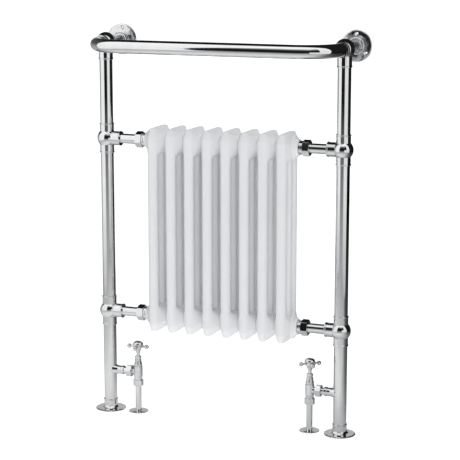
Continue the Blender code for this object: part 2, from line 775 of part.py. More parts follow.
def add_end_bosses(section, sign):
    """Lengthens both hubs of an outer section towards the connectors."""
    boss_start = sign * (INSERT_HALF_WIDTH - END_BOSS_LENGTH)
    boss_outline = bar_points([(HUB_RADIUS - 0.5 * MM, 2 * END_BOSS_LENGTH, 0)])
    for level, height in (("lower", LOWER_TEE_HEIGHT), ("upper", UPPER_TEE_HEIGHT)):
        boss = turned_cutter(f"{section.name}_{level}_boss", boss_outline)
        place(boss, (boss_start, 0, height), (0, sign * math.pi / 2, 0))
        combine(section, boss, "UNION")


def hollow_section(section, centre_x):
    """Hollows the heads, the hubs and the three tubes into one open waterway."""
    tube_reach = (UPPER_TEE_HEIGHT - LOWER_TEE_HEIGHT) / 2 + TUBE_BORE_OVERSHOOT
    middle_height = (UPPER_TEE_HEIGHT + LOWER_TEE_HEIGHT) / 2
    tube_outline = bar_points([(TUBE_BORE, tube_reach, -tube_reach)])
    waterway = turned_cutter(section.name + "_waterway", tube_outline, SMALL_STEPS)
    place(waterway, (centre_x, 0, middle_height))
    for row_y in (-TUBE_ROW_OFFSET, TUBE_ROW_OFFSET):
        bore = turned_cutter(section.name + "_tube_bore", tube_outline, SMALL_STEPS)
        place(bore, (centre_x, row_y, middle_height))
        combine(waterway, bore, "UNION")
    hub_reach = SECTION_PITCH / 2 + END_BOSS_LENGTH + CUT_MARGIN
    hub_outline = bar_points([(HUB_BORE, hub_reach, -hub_reach)])
    for height, direction in ((LOWER_TEE_HEIGHT, -1), (UPPER_TEE_HEIGHT, 1)):
        centre = (centre_x, 0, height)
        hollow = make_cutter(section.name + "_hollow", head_mesh(section.name + "_hollow", direction, HEAD_WALL))
        place(hollow, centre)
        combine(waterway, hollow, "UNION")
        hub_bore = turned_cutter(section.name + "_hub_bore", hub_outline)
        place(hub_bore, centre, (0, math.pi / 2, 0))
        combine(waterway, hub_bore, "UNION")
    combine(section, waterway, "DIFFERENCE")


# Valves ----------------------------------------------------------------------------------------
def make_valve_body(side):
    """The cast body: a vertical barrel with a branch towards the post."""
    name = f"{side}_valve_body"
    valve_x = SIDES[side] * VALVE_X
    outline = [
        (0, VALVE_BODY_TOP),
        (VALVE_BODY_RADIUS - 0.6 * MM, VALVE_BODY_TOP),
        (VALVE_BODY_RADIUS, VALVE_BODY_TOP - 0.6 * MM),
        (VALVE_BODY_RADIUS, VALVE_BODY_BOTTOM + 8 * MM),
        (VALVE_THREAD_RADIUS, VALVE_BODY_BOTTOM + 1 * MM),
        (VALVE_THREAD_RADIUS, VALVE_THREAD_BOTTOM),
        (0, VALVE_THREAD_BOTTOM),
    ]
    body = turned_part(name, outline, chrome(name), FINE_STEPS, False)
    place(body, (valve_x, 0, 0))
    outward = (0, SIDES[side] * math.pi / 2, 0)
    branch = turned_cutter(name + "_branch", bar_points([(BRANCH_RADIUS, BRANCH_END, 0)]))
    place(branch, (valve_x, 0, VALVE_OUTLET_HEIGHT), outward)
    combine(body, branch, "UNION")
    margin = 1 * MM
    pipe_socket_top = PIPE_TOP + CLEARANCE
    chamber = turned_cutter(
        name + "_chamber",
        bar_points(
            [
                (VALVE_CHAMBER_RADIUS, VALVE_BODY_TOP + margin, VALVE_SEAT_HEIGHT),
                (VALVE_PORT_RADIUS, VALVE_SEAT_HEIGHT, pipe_socket_top),
                (PIPE_RADIUS + CLEARANCE, pipe_socket_top, VALVE_THREAD_BOTTOM - margin),
            ]
        ),
    )
    place(chamber, (valve_x, 0, 0))
    combine(body, chamber, "DIFFERENCE")
    port = turned_cutter(name + "_port", bar_points([(VALVE_PORT_RADIUS, BRANCH_END + margin, 0)]))
    place(port, (valve_x, 0, VALVE_OUTLET_HEIGHT), outward)
    combine(body, port, "DIFFERENCE")
    shade(body)


def make_valve_side_union(side):
    """Union nut and tail between the valve's branch and the post's outlet."""
    valve_x = SIDES[side] * VALVE_X
    outward = (0, SIDES[side] * math.pi / 2, 0)

    name = f"{side}_valve_union_nut"
    length = SIDE_NUT_END - SIDE_NUT_START
    half = length / 2
    centre = SIDE_NUT_START + half
    step = TAIL_SHOULDER_END + CLEARANCE - centre
    bore_outline = bar_points(
        [
            (TAIL_NECK_RADIUS + CLEARANCE, half + CUT_MARGIN, step),
            (BRANCH_RADIUS + CLEARANCE, step, -half - CUT_MARGIN),
        ]
    )
    turn = -SIDES[side] * SIDE_NUT_TURN
    nut, bore = hexagon_nut(name, SIDE_NUT_FLATS, length, bore_outline, chrome(name), turn)
    for piece in (nut, bore):
        place(piece, (valve_x + SIDES[side] * centre, 0, VALVE_OUTLET_HEIGHT), outward)
    shade(nut)

    name = f"{side}_valve_tail"
    collar_end = VALVE_TO_POST - OUTLET_REACH - CLEARANCE
    outline = [
        (TAIL_BORE, TAIL_END),
        (TAIL_SPIGOT_RADIUS, TAIL_END),
        (TAIL_SPIGOT_RADIUS, collar_end),
        (TAIL_COLLAR_RADIUS, collar_end),
        (TAIL_COLLAR_RADIUS, SIDE_NUT_END + CLEARANCE),
        (TAIL_NECK_RADIUS, SIDE_NUT_END + CLEARANCE),
        (TAIL_NECK_RADIUS, TAIL_SHOULDER_END),
        (BRANCH_RADIUS, TAIL_SHOULDER_END),
        (BRANCH_RADIUS, BRANCH_END + CLEARANCE),
        (TAIL_BORE, BRANCH_END + CLEARANCE),
    ]
    tail = turned_part(name, outline, chrome(name))
    place(tail, (valve_x, 0, VALVE_OUTLET_HEIGHT), outward)


def make_valve_pipe(side):
    """Supply pipe, its compression nut and the rose that covers the hole in the floor."""
    valve_x = SIDES[side] * VALVE_X

    name = f"{side}_supply_pipe"
    place(turned_part(name, ring_points(PIPE_RADIUS, PIPE_BORE, PIPE_TOP, 0), chrome(name)), (valve_x, 0, 0))

    name = f"{side}_pipe_nut"
    nut_top = VALVE_BODY_BOTTOM - CLEARANCE
    length = nut_top - PIPE_NUT_BOTTOM
    half = length / 2
    centre = PIPE_NUT_BOTTOM + half
    step = VALVE_THREAD_BOTTOM - CLEARANCE - centre
    bore_outline = bar_points(
        [
            (VALVE_THREAD_RADIUS + CLEARANCE, half + CUT_MARGIN, step),
            (PIPE_RADIUS + CLEARANCE, step, -half - CUT_MARGIN),
        ]
    )
    nut, bore = hexagon_nut(name, PIPE_NUT_FLATS, length, bore_outline, chrome(name))
    for piece in (nut, bore):
        place(piece, (valve_x, 0, centre))
    shade(nut)

    name = f"{side}_pipe_rose"
    hole = PIPE_RADIUS + CLEARANCE
    outline = [
        (hole, ROSE_CROWN),
        (hole + 2 * MM, ROSE_CROWN),
        (ROSE_RADIUS * 0.7, ROSE_RIM + (ROSE_CROWN - ROSE_RIM) * 0.6),
        (ROSE_RADIUS, ROSE_RIM),
        (ROSE_RADIUS, 0),
        (hole, 0),
    ]
    place(turned_part(name, outline, chrome(name), COARSE_STEPS), (valve_x, 0, 0))


def make_valve_top(side):
    """Bonnet, gland nut and clack."""
    valve_x = SIDES[side] * VALVE_X

    name = f"{side}_valve_bonnet"
    base = VALVE_BODY_TOP + CLEARANCE
    outline = [
        (PACKING_RADIUS, BONNET_TOP),
        (BONNET_TOP_RADIUS, BONNET_TOP),
        (BONNET_BASE_RADIUS, base + 2 * MM),
        (BONNET_BASE_RADIUS, base),
        (BONNET_NOSE_RADIUS, base),
        (BONNET_NOSE_RADIUS, BONNET_NOSE_BOTTOM),
        (SPINDLE_BORE, BONNET_NOSE_BOTTOM),
        (SPINDLE_BORE, PACKING_BOTTOM),
        (PACKING_RADIUS, PACKING_BOTTOM),
    ]
    place(turned_part(name, outline, chrome(name)), (valve_x, 0, 0))

    name = f"{side}_gland_nut"
    shoulder = BONNET_TOP + CLEARANCE
    outline = [
        (SPINDLE_BORE, GLAND_TOP),
        (SPINDLE_BORE + 1.2 * MM, GLAND_TOP),
        (BONNET_TOP_RADIUS - 0.8 * MM, GLAND_TOP - 1.5 * MM),
        (BONNET_TOP_RADIUS, GLAND_TOP - 3.5 * MM),
        (BONNET_TOP_RADIUS, shoulder),
        (PACKING_RADIUS - CLEARANCE, shoulder),
        (PACKING_RADIUS - CLEARANCE, PACKING_BOTTOM + CLEARANCE),
        (SPINDLE_BORE, PACKING_BOTTOM + CLEARANCE),
    ]
    place(turned_part(name, outline, chrome(name)), (valve_x, 0, 0))

    name = f"{side}_clack"
    clack_bottom = VALVE_SEAT_HEIGHT + CLEARANCE
    outline = bar_points(
        [
            (CLACK_STEM_RADIUS, SPINDLE_BOTTOM - CLEARANCE, clack_bottom + CLACK_THICKNESS),
            (CLACK_RADIUS, clack_bottom + CLACK_THICKNESS, clack_bottom),
        ]
    )
    place(turned_part(name, outline, brass(name), FINE_STEPS, False), (valve_x, 0, 0))


def cross_arm_outline():
    """A rod with a ball at each end, along its own axis, from its top end down."""
    neck = math.sqrt(ARM_BALL_RADIUS**2 - ARM_TIP_RADIUS**2)
    upper = arc(ARM_REACH, ARM_BALL_RADIUS, ARM_REACH + ARM_BALL_RADIUS, ARM_REACH - neck, 3)
    upper.append((ARM_ROOT_RADIUS, HUB_TOP_RADIUS))
    lower = [(radius, -height) for radius, height in reversed(upper)]
    return upper + lower


def make_handle(side):
    """Spindle, hub and four ball-ended arms in one piece, with a cap screwed into it."""
    location = (SIDES[side] * VALVE_X, 0, ARM_HEIGHT)
    turn_angle = math.radians(HANDLE_REST_ANGLE[side])

    name = f"{side}_handle"
    pin_hole_bottom = HUB_TOP - CAP_PIN_LENGTH - 2 * CLEARANCE
    heights = [
        (CAP_PIN_RADIUS + CLEARANCE, pin_hole_bottom),
        (CAP_PIN_RADIUS + CLEARANCE, HUB_TOP),
        (HUB_TOP_RADIUS - 1 * MM, HUB_TOP),
        (HUB_TOP_RADIUS, HUB_TOP - 1 * MM),
        (HUB_TOP_RADIUS, ARM_HEIGHT - 4 * MM),
        (HUB_BOTTOM_RADIUS + 1.2 * MM, HUB_NECK_HEIGHT + 5 * MM),
        (HUB_BOTTOM_RADIUS, HUB_NECK_HEIGHT),
        (SPINDLE_RADIUS, HUB_NECK_HEIGHT),
        (SPINDLE_RADIUS, SPINDLE_BOTTOM),
        (0, SPINDLE_BOTTOM),
    ]
    outline = [(0, pin_hole_bottom - ARM_HEIGHT)]
    outline += [(radius, height - ARM_HEIGHT) for radius, height in heights]
    handle = turned_part(name, outline, chrome(name), FINE_STEPS, False)
    place(handle, location, (0, 0, turn_angle))
    for number, quarter in enumerate((0, math.pi / 2)):
        arm = turned_cutter(f"{name}_arm_{number}", cross_arm_outline(), SMALL_STEPS)
        place(arm, location, (0, math.pi / 2, turn_angle + quarter))
        combine(handle, arm, "UNION")
    # The pin hole is opened again, because the arms cross it.
    hole_top = HUB_TOP - ARM_HEIGHT + 1 * MM
    hole_outline = bar_points([(CAP_PIN_RADIUS + CLEARANCE, hole_top, pin_hole_bottom - ARM_HEIGHT)])
    pin_hole = turned_cutter(name + "_pin_hole", hole_outline)
    place(pin_hole, location)
    combine(handle, pin_hole, "DIFFERENCE")
    shade(handle)

    name = f"{side}_handle_cap"
    cap_base = HUB_TOP + CLEARANCE
    rise = CAP_TOP - cap_base
    dome = []
    dome_steps = 4
    for step in range(dome_steps + 1):
        angle = math.pi / 2 * step / dome_steps
        dome.append((CAP_RADIUS * math.sin(angle), cap_base + rise * math.cos(angle)))
    outline = dome + [
        (CAP_PIN_RADIUS, cap_base),
        (CAP_PIN_RADIUS, cap_base - CAP_PIN_LENGTH),
        (0, cap_base - CAP_PIN_LENGTH),
    ]
    outline = [(radius, height - ARM_HEIGHT) for radius, height in outline]
    cap = turned_part(name, outline, chrome(name), FINE_STEPS, False)
    place(cap, location)


def make_valve(side):
    make_valve_body(side)
    make_valve_side_union(side)
    make_valve_pipe(side)
    make_valve_top(side)
    make_handle(side)


clear_scene()
PART_COLLECTION = new_collection("towel_radiator")
CUTTER_COLLECTION = new_collection("cutters")
FRAME_ORIGIN = bpy.data.objects.new("posts_frame", None)
FRAME_ORIGIN.location = (0, POST_PLANE_Y, 0)
PART_COLLECTION.objects.link(FRAME_ORIGIN)

for side_name in SIDES:
    make_floor_flange(side_name)
    make_post_tubes(side_name)
    make_ball_tee(side_name, "lower", LOWER_TEE_HEIGHT)
    make_ball_tee(side_name, "upper", UPPER_TEE_HEIGHT)
    make_top_ball(side_name)
    make_wall_bracket(side_name)
    make_connector(side_name, "lower", LOWER_TEE_HEIGHT)
    make_connector(side_name, "upper", UPPER_TEE_HEIGHT)
    make_valve(side_name)
make_towel_rail()
make_air_vent_screw()
for section_number in range(1, SECTION_COUNT + 1):
    make_section(section_number)
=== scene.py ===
"""Towel radiator with two crosshead valves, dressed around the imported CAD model.

Every CAD node is replaced by a finely rounded piece of the same overall size.  Positions
come from the CAD boxes.  Outlines are in millimetres and list (radius, height, fillet)
along the axis of each piece; the fillet rounds that corner and is left out where it is 0.
"""

import json
import math

import bmesh
import bpy
import numpy as np
from mathutils import Matrix, Vector

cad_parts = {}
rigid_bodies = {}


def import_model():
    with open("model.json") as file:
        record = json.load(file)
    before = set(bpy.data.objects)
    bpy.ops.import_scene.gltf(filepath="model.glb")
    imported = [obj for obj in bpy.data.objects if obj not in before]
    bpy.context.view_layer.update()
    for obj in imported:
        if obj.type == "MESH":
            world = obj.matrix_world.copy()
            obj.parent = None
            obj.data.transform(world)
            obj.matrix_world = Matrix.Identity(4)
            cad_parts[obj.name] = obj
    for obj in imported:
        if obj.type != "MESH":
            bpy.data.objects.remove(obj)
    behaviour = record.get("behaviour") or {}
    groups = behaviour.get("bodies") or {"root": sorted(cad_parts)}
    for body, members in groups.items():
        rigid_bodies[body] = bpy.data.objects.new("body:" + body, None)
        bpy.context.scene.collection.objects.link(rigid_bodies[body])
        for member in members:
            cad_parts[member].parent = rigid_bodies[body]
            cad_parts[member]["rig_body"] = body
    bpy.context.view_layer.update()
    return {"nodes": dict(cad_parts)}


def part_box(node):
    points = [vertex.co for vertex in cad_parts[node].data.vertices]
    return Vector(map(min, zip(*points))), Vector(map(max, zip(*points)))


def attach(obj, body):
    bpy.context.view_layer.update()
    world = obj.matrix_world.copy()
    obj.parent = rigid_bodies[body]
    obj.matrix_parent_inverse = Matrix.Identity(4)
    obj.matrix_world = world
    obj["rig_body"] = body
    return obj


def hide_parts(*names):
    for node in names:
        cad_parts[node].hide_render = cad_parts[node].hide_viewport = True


for leftover in list(bpy.data.objects):
    bpy.data.objects.remove(leftover, do_unlink=True)
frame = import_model()

MM = 0.001
SIDES = {"left": -1, "right": 1}
LEVELS = ("lower", "upper")
UP = Vector((0, 0, 1))
FORWARD = Vector((0, -1, 0))
BACKWARD = Vector((0, 1, 0))

# Mesh fineness
RING_SEGMENTS = 96
SMALL_SEGMENTS = 48
FILLET_STEPS = 4
BALL_STEPS = 18
BEND_STEPS = 36
SHARP_ANGLE = math.radians(32)

# Dimensions in millimetres that describe joints between pieces; a bore is a radius too
GAP = 0.3
POST_RADIUS = 15.9
POST_BORE = 13.9
SOCKET_BORE = 16.2
BALL_RADIUS = 23.7
COLLAR_RADIUS = 17.3
BALL_SHOULDER = math.sqrt(BALL_RADIUS**2 - COLLAR_RADIUS**2)
COLLAR_ROOT = 6
FLANGE_RADIUS = 38
RAIL_BEND = 85
STAY_RADIUS = 11.8
STAY_SOCKET_BORE = 12.1
CONNECTOR_RADIUS = 11.8
CONNECTOR_BORE = 9.5
CONNECTOR_SOCKET_BORE = 12.1
SPIGOT_LENGTH = 9.3
TAIL_SOCKET_BORE = 8.3
WATERWAY = 5

# Screw holes of a wall flange
SCREW_CIRCLE = 29
SCREW_ANGLES = (87, 207, 327)

# Nuts: width across flats in millimetres, and turn about the axis in degrees
UNION_NUT_FLATS = 35
UNION_NUT_TURN = {"left": 18, "right": 12}
VALVE_NUT_FLATS = 27
VALVE_NUT_TURN = 8
PIPE_NUT_FLATS = 22.5
NUT_CORNER_BEVEL = 0.7
NUT_CHAMFER_SLOPE = 0.62

# Radiator sections
SECTION_COUNT = 8
ROW_SPACING = 38
COLUMN_RADIUS = 12.4
HUB_RADIUS = 21.6
HUB_BORE = 12.3
HUB_EXTENSION = 8
HEAD_RINGS = ((12.5, -29.5), (12.5, 14.5), (7.2, 33.5))
HEAD_VOXEL = 1.3
HEAD_SMOOTHING = 10

# Valve handles
ARM_HEIGHT = 167
ARM_REACH = 22.6
ARM_BALL_RADIUS = 5.5
HANDLE_REST_ANGLE = {"left": 4, "right": 36}


# Materials ----------------------------------------------------------------------------
def principled(name):
    material = bpy.data.materials.new(name)
    material.use_nodes = True
    return material, material.node_tree, material.node_tree.nodes["Principled BSDF"]


def noise_node(tree, scale, detail, roughness=0.5):
    coordinates = tree.nodes.new("ShaderNodeTexCoord")
    noise = tree.nodes.new("ShaderNodeTexNoise")
    noise.inputs["Scale"].default_value = scale
    noise.inputs["Detail"].default_value = detail
    noise.inputs["Roughness"].default_value = roughness
    tree.links.new(coordinates.outputs["Object"], noise.inputs["Vector"])
    return noise


def map_range(tree, source, low, high, from_low=0.3, from_high=0.7):
    """Stretches a value to run from low to high; noise stays mostly within 0.3 to 0.7."""
    node = tree.nodes.new("ShaderNodeMapRange")
    node.inputs["From Min"].default_value = from_low
    node.inputs["From Max"].default_value = from_high
    node.inputs["To Min"].default_value = low
    node.inputs["To Max"].default_value = high
    tree.links.new(source, node.inputs["Value"])
    return node.outputs["Result"]


def colour_ramp(tree, source, low_colour, high_colour):
    node = tree.nodes.new("ShaderNodeValToRGB")
    node.color_ramp.elements[0].position = 0.3
    node.color_ramp.elements[0].color = (*low_colour, 1)
    node.color_ramp.elements[1].position = 0.7
    node.color_ramp.elements[1].color = (*high_colour, 1)
    tree.links.new(source, node.inputs["Fac"])
    return node.outputs["Color"]


def bump(tree, shader, height, strength, distance):
    node = tree.nodes.new("ShaderNodeBump")
    node.inputs["Strength"].default_value = strength
    node.inputs["Distance"].default_value = distance
    tree.links.new(height, node.inputs["Height"])
    tree.links.new(node.outputs["Normal"], shader.inputs["Normal"])


def make_chrome():
    """Polished chromium plate: faint haze patches and the slight waviness of buffed brass."""
    material, tree, shader = principled("polished_chrome")
    shader.inputs["Metallic"].default_value = 1.0
    haze = noise_node(tree, scale=38, detail=3)
    tree.links.new(
        colour_ramp(tree, haze.outputs["Fac"], (0.80, 0.81, 0.82), (0.85, 0.86, 0.87)),
        shader.inputs["Base Color"],
    )
    tree.links.new(map_range(tree, haze.outputs["Fac"], 0.035, 0.075), shader.inputs["Roughness"])
    waves = noise_node(tree, scale=60, detail=1)
    bump(tree, shader, waves.outputs["Fac"], strength=0.05, distance=0.0004)
    return material


def make_cast_chrome(name, smoothest, roughest, wave_strength):
    """Chromium plate over cast or pressed brass, wavier than the tubes."""
    material, tree, shader = principled(name)
    shader.inputs["Metallic"].default_value = 1.0
    haze = noise_node(tree, scale=170, detail=3)
    tree.links.new(
        colour_ramp(tree, haze.outputs["Fac"], (0.72, 0.73, 0.74), (0.86, 0.87, 0.88)),
        shader.inputs["Base Color"],
    )
    tree.links.new(
        map_range(tree, haze.outputs["Fac"], smoothest, roughest), shader.inputs["Roughness"]
    )
    waves = noise_node(tree, scale=140, detail=2)
    bump(tree, shader, waves.outputs["Fac"], strength=wave_strength, distance=0.002)
    return material


def make_paint():
    """White stoved enamel with a soft gloss and fine orange peel."""
    material, tree, shader = principled("white_enamel")
    shader.inputs["Coat Weight"].default_value = 0.35
    shader.inputs["Coat Roughness"].default_value = 0.12
    clouds = noise_node(tree, scale=14, detail=3)
    tree.links.new(
        colour_ramp(tree, clouds.outputs["Fac"], (0.83, 0.84, 0.86), (0.85, 0.86, 0.875)),
        shader.inputs["Base Color"],
    )
    tree.links.new(map_range(tree, clouds.outputs["Fac"], 0.28, 0.38), shader.inputs["Roughness"])
    peel = noise_node(tree, scale=520, detail=2)
    bump(tree, shader, peel.outputs["Fac"], strength=0.12, distance=0.0002)
    return material


def make_brass():
    """Machined brass with fine turning marks and a little tarnish."""
    material, tree, shader = principled("machined_brass")
    shader.inputs["Metallic"].default_value = 1.0
    tarnish = noise_node(tree, scale=260, detail=4)
    tree.links.new(
        colour_ramp(tree, tarnish.outputs["Fac"], (0.55, 0.40, 0.20), (0.80, 0.63, 0.33)),
        shader.inputs["Base Color"],
    )
    tree.links.new(map_range(tree, tarnish.outputs["Fac"], 0.18, 0.34), shader.inputs["Roughness"])
    marks = noise_node(tree, scale=1400, detail=2)
    bump(tree, shader, marks.outputs["Fac"], strength=0.1, distance=0.0001)
    return material


CHROME = make_chrome()
CAST_CHROME = make_cast_chrome("cast_chrome", smoothest=0.06, roughest=0.12, wave_strength=0.2)
SATIN_CHROME = make_cast_chrome("satin_chrome", smoothest=0.1, roughest=0.2, wave_strength=0.12)
PAINT = make_paint()
BRASS = make_brass()
SLOT_MATERIALS = {"chrome": CHROME, "white_paint": PAINT, "brass": BRASS}


# Mesh tools ---------------------------------------------------------------------------
def rounded_outline(points):
    """Replaces each corner that has a fillet radius with an arc."""
    corners = [Vector((point[0], point[1])) for point in points]
    fillets = [point[2] if len(point) > 2 else 0 for point in points]
    closed = corners[0].x > 0
    result = []
    for index, corner in enumerate(corners):
        is_end = not closed and index in (0, len(corners) - 1)
        if fillets[index] == 0 or is_end:
            result.append(corner)
            continue
        before = corners[index - 1] - corner
        after = corners[(index + 1) % len(corners)] - corner
        half_angle = before.angle(after) / 2
        setback = fillets[index] / math.tan(half_angle)
        setback = min(setback, 0.49 * before.length, 0.49 * after.length)
        radius = setback * math.tan(half_angle)
        bisector = (before.normalized() + after.normalized()).normalized()
        centre = corner + bisector * (radius / math.sin(half_angle))
        start = corner + before.normalized() * setback - centre
        end = corner + after.normalized() * setback - centre
        sweep = start.angle_signed(end)
        for step in range(FILLET_STEPS + 1):
            angle = -sweep * step / FILLET_STEPS
            turned = Vector(
                (
                    start.x * math.cos(angle) - start.y * math.sin(angle),
                    start.x * math.sin(angle) + start.y * math.cos(angle),
                )
            )
            result.append(centre + turned)
    return [(max(point.x, 0.0), point.y) for point in result]


def ball_arc(radius, first_height, last_height, steps=BALL_STEPS, centre=0.0):
    """Outline points of a ball between two heights."""
    first = math.acos(max(-1.0, min(1.0, (first_height - centre) / radius)))
    last = math.acos(max(-1.0, min(1.0, (last_height - centre) / radius)))
    points = []
    for step in range(steps + 1):
        angle = first + (last - first) * step / steps
        points.append((radius * math.sin(angle), centre + radius * math.cos(angle)))
    return points


def axis_matrix(origin, axis):
    """Places local Z along axis, at origin in metres."""
    rotation = UP.rotation_difference(Vector(axis)).to_matrix().to_4x4()
    return Matrix.Translation(Vector(origin)) @ rotation


def lathe(outline, origin, axis=UP, segments=RING_SEGMENTS):
    """A closed solid turned about an axis from an outline in millimetres."""
    points = rounded_outline(outline)
    closed = points[0][0] > 0
    shape = bmesh.new()
    rings = []
    for radius, height in points:
        if radius < 1e-6:
            rings.append([shape.verts.new((0, 0, height * MM))])
            continue
        ring = []
        for step in range(segments):
            angle = 2 * math.pi * step / segments
            ring.append(
                shape.verts.new(
                    (radius * MM * math.cos(angle), radius * MM * math.sin(angle), height * MM)
                )
            )
        rings.append(ring)
    pairs = list(zip(rings, rings[1:]))
    if closed:
        pairs.append((rings[-1], rings[0]))
    for first, second in pairs:
        for step in range(segments):
            following = (step + 1) % segments
            if len(first) == 1 and len(second) == 1:
                continue
            if len(first) == 1:
                shape.faces.new((first[0], second[step], second[following]))
            elif len(second) == 1:
                shape.faces.new((first[step], second[0], first[following]))
            else:
                shape.faces.new((first[step], second[step], second[following], first[following]))
    bmesh.ops.remove_doubles(shape, verts=shape.verts, dist=1e-7)
    bmesh.ops.recalc_face_normals(shape, faces=shape.faces)
    mesh = bpy.data.meshes.new("turned")
    shape.to_mesh(mesh)
    shape.free()
    mesh.transform(axis_matrix(origin, axis))
    return mesh


def bar(radius, top, bottom, origin, axis=UP, segments=SMALL_SEGMENTS):
    """A plain solid bar between two heights, mostly used to cut bores."""
    return lathe([(0, top), (radius, top), (radius, bottom), (0, bottom)], origin, axis, segments)


def combined(first, second, operation):
    """The Boolean of two meshes as a new mesh."""
    target = bpy.data.objects.new("target", first)
    tool = bpy.data.objects.new("tool", second)
    for obj in (target, tool):
        bpy.context.scene.collection.objects.link(obj)
    modifier = target.modifiers.new("combine", "BOOLEAN")
    modifier.operation = operation
    modifier.object = tool
    bpy.context.view_layer.update()
    result = bpy.data.meshes.new_from_object(
        target.evaluated_get(bpy.context.evaluated_depsgraph_get())
    )
    for obj in (target, tool):
        mesh = obj.data
        bpy.data.objects.remove(obj)
        if mesh.users == 0:
            bpy.data.meshes.remove(mesh)
    return result


def joined(first, *others):
    for other in others:
        first = combined(first, other, "UNION")
    return first


def drilled(first, *others):
    for other in others:
        first = combined(first, other, "DIFFERENCE")
    return first


def smooth(mesh, angle=SHARP_ANGLE):
    mesh.polygons.foreach_set("use_smooth", [True] * len(mesh.polygons))
    mesh.set_sharp_from_angle(angle=angle)


def show(node, mesh, slot, material=None):
    """Makes the finished piece that stands for one CAD node, in its slot's material or another."""
    piece = bpy.data.objects.new("fine_" + node, mesh)
    mesh.name = piece.name
    mesh.materials.clear()
    mesh.materials.append(material or SLOT_MATERIALS[slot])
    smooth(mesh)
    bpy.context.scene.collection.objects.link(piece)
    weighted = piece.modifiers.new("weighted_normals", "WEIGHTED_NORMAL")
    weighted.keep_sharp = True
    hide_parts(node)
    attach(piece, frame["nodes"][node]["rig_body"])
    return piece


def middle(node):
    low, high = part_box(node)
    return (low + high) / 2


def size(node):
    low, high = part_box(node)
    return high - low


# Shared positions, read from the CAD --------------------------------------------------
POST_TUBE = {side: middle(f"{side}_post_middle") for side in SIDES}
PLANE_Y = POST_TUBE["left"].y
RAIL_HEIGHT = middle("towel_rail").z
TEE_CENTRE = {
    (side, level): Vector((POST_TUBE[side].x, PLANE_Y, middle(f"{side}_{level}_ball_tee").z))
    for side in SIDES
    for level in LEVELS
}
TOP_CENTRE = {side: Vector((POST_TUBE[side].x, PLANE_Y, RAIL_HEIGHT)) for side in SIDES}
VALVE_AXIS = {side: Vector((middle(f"{side}_supply_pipe").x, PLANE_Y, 0)) for side in SIDES}
OUTLET_HEIGHT = middle("left_valve_tail").z
WALL_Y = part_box("left_wall_bracket")[1].y


# Posts --------------------------------------------------------------------------------
def tube_outline(outer, inner, top, bottom):
    return [(outer, top, 0.4), (outer, bottom, 0.4), (inner, bottom), (inner, top)]


def make_post_tubes(side):
    for level in ("middle", "upper"):
        node = f"{side}_post_{level}"
        low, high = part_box(node)
        origin = Vector((POST_TUBE[side].x, PLANE_Y, 0))
        outline = tube_outline(POST_RADIUS, POST_BORE, high.z / MM, low.z / MM)
        show(node, lathe(outline, origin), "chrome")


def make_lower_post(side):
    """The lowest tube, with an outlet drawn out of its wall towards the valve."""
    node = f"{side}_post_lower"
    low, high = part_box(node)
    origin = Vector((POST_TUBE[side].x, PLANE_Y, 0))
    inward = Vector((-SIDES[side], 0, 0))
    branch_origin = Vector((origin.x, PLANE_Y, OUTLET_HEIGHT))
    top = high.z / MM
    bottom = low.z / MM
    tube = bar(POST_RADIUS, top, bottom, origin, segments=RING_SEGMENTS)
    branch = lathe(
        [
            (0, 38.5),
            (11.2, 38.5, 0.8),
            (11.2, 32.4, 0.8),
            (10.2, 31.4, 0.8),
            (10.4, 23, 8),
            (12.2, 16, 5),
            (14.6, 10),
            (13, 4),
            (0, 4),
        ],
        branch_origin,
        inward,
    )
    mesh = joined(tube, branch)
    mesh = drilled(
        mesh,
        bar(POST_BORE, top + 2, bottom - 2, origin, segments=RING_SEGMENTS),
        bar(TAIL_SOCKET_BORE, 40, 21, branch_origin, inward),
        bar(WATERWAY, 22, 0, branch_origin, inward),
    )
    show(node, mesh, "chrome")


def make_floor_flange(side):
    """A domed foot with a flared neck and a socket for the post."""
    node = f"{side}_floor_flange"
    outline = [
        (SOCKET_BORE, 26, 0.3),
        (17.9, 26, 0.6),
        (17.9, 23.6, 0.6),
        (17.0, 22.6, 0.3),
        (17.0, 9, 2),
        (20.5, 4.6, 2.5),
        (35.5, 2.9, 2),
        (FLANGE_RADIUS, 1.6, 0.7),
        (FLANGE_RADIUS, 0, 0.2),
        (11, 0),
        (11, 3.3),
        (SOCKET_BORE, 3.3),
    ]
    show(node, lathe(outline, Vector((POST_TUBE[side].x, PLANE_Y, 0))), "chrome", CAST_CHROME)


# Ball joints --------------------------------------------------------------------------
def collar_outline(radius, reach, shoulder):
    """The outer side of a collar with a rolled lip at its mouth, from the mouth inwards."""
    lip = radius + 0.9
    return [
        (lip - 0.5, reach, 0.4),
        (lip, reach - 0.6, 0.6),
        (lip, reach - 2.9, 0.7),
        (radius, reach - 3.9, 0.7),
        (radius, shoulder, 0.8),
    ]


def side_collar(radius, reach, centre, axis):
    """A collar that leaves a ball sideways, solid until its socket is cut."""
    outline = [(0, reach)] + collar_outline(radius, reach, COLLAR_ROOT) + [(0, COLLAR_ROOT)]
    return lathe(outline, centre, axis)


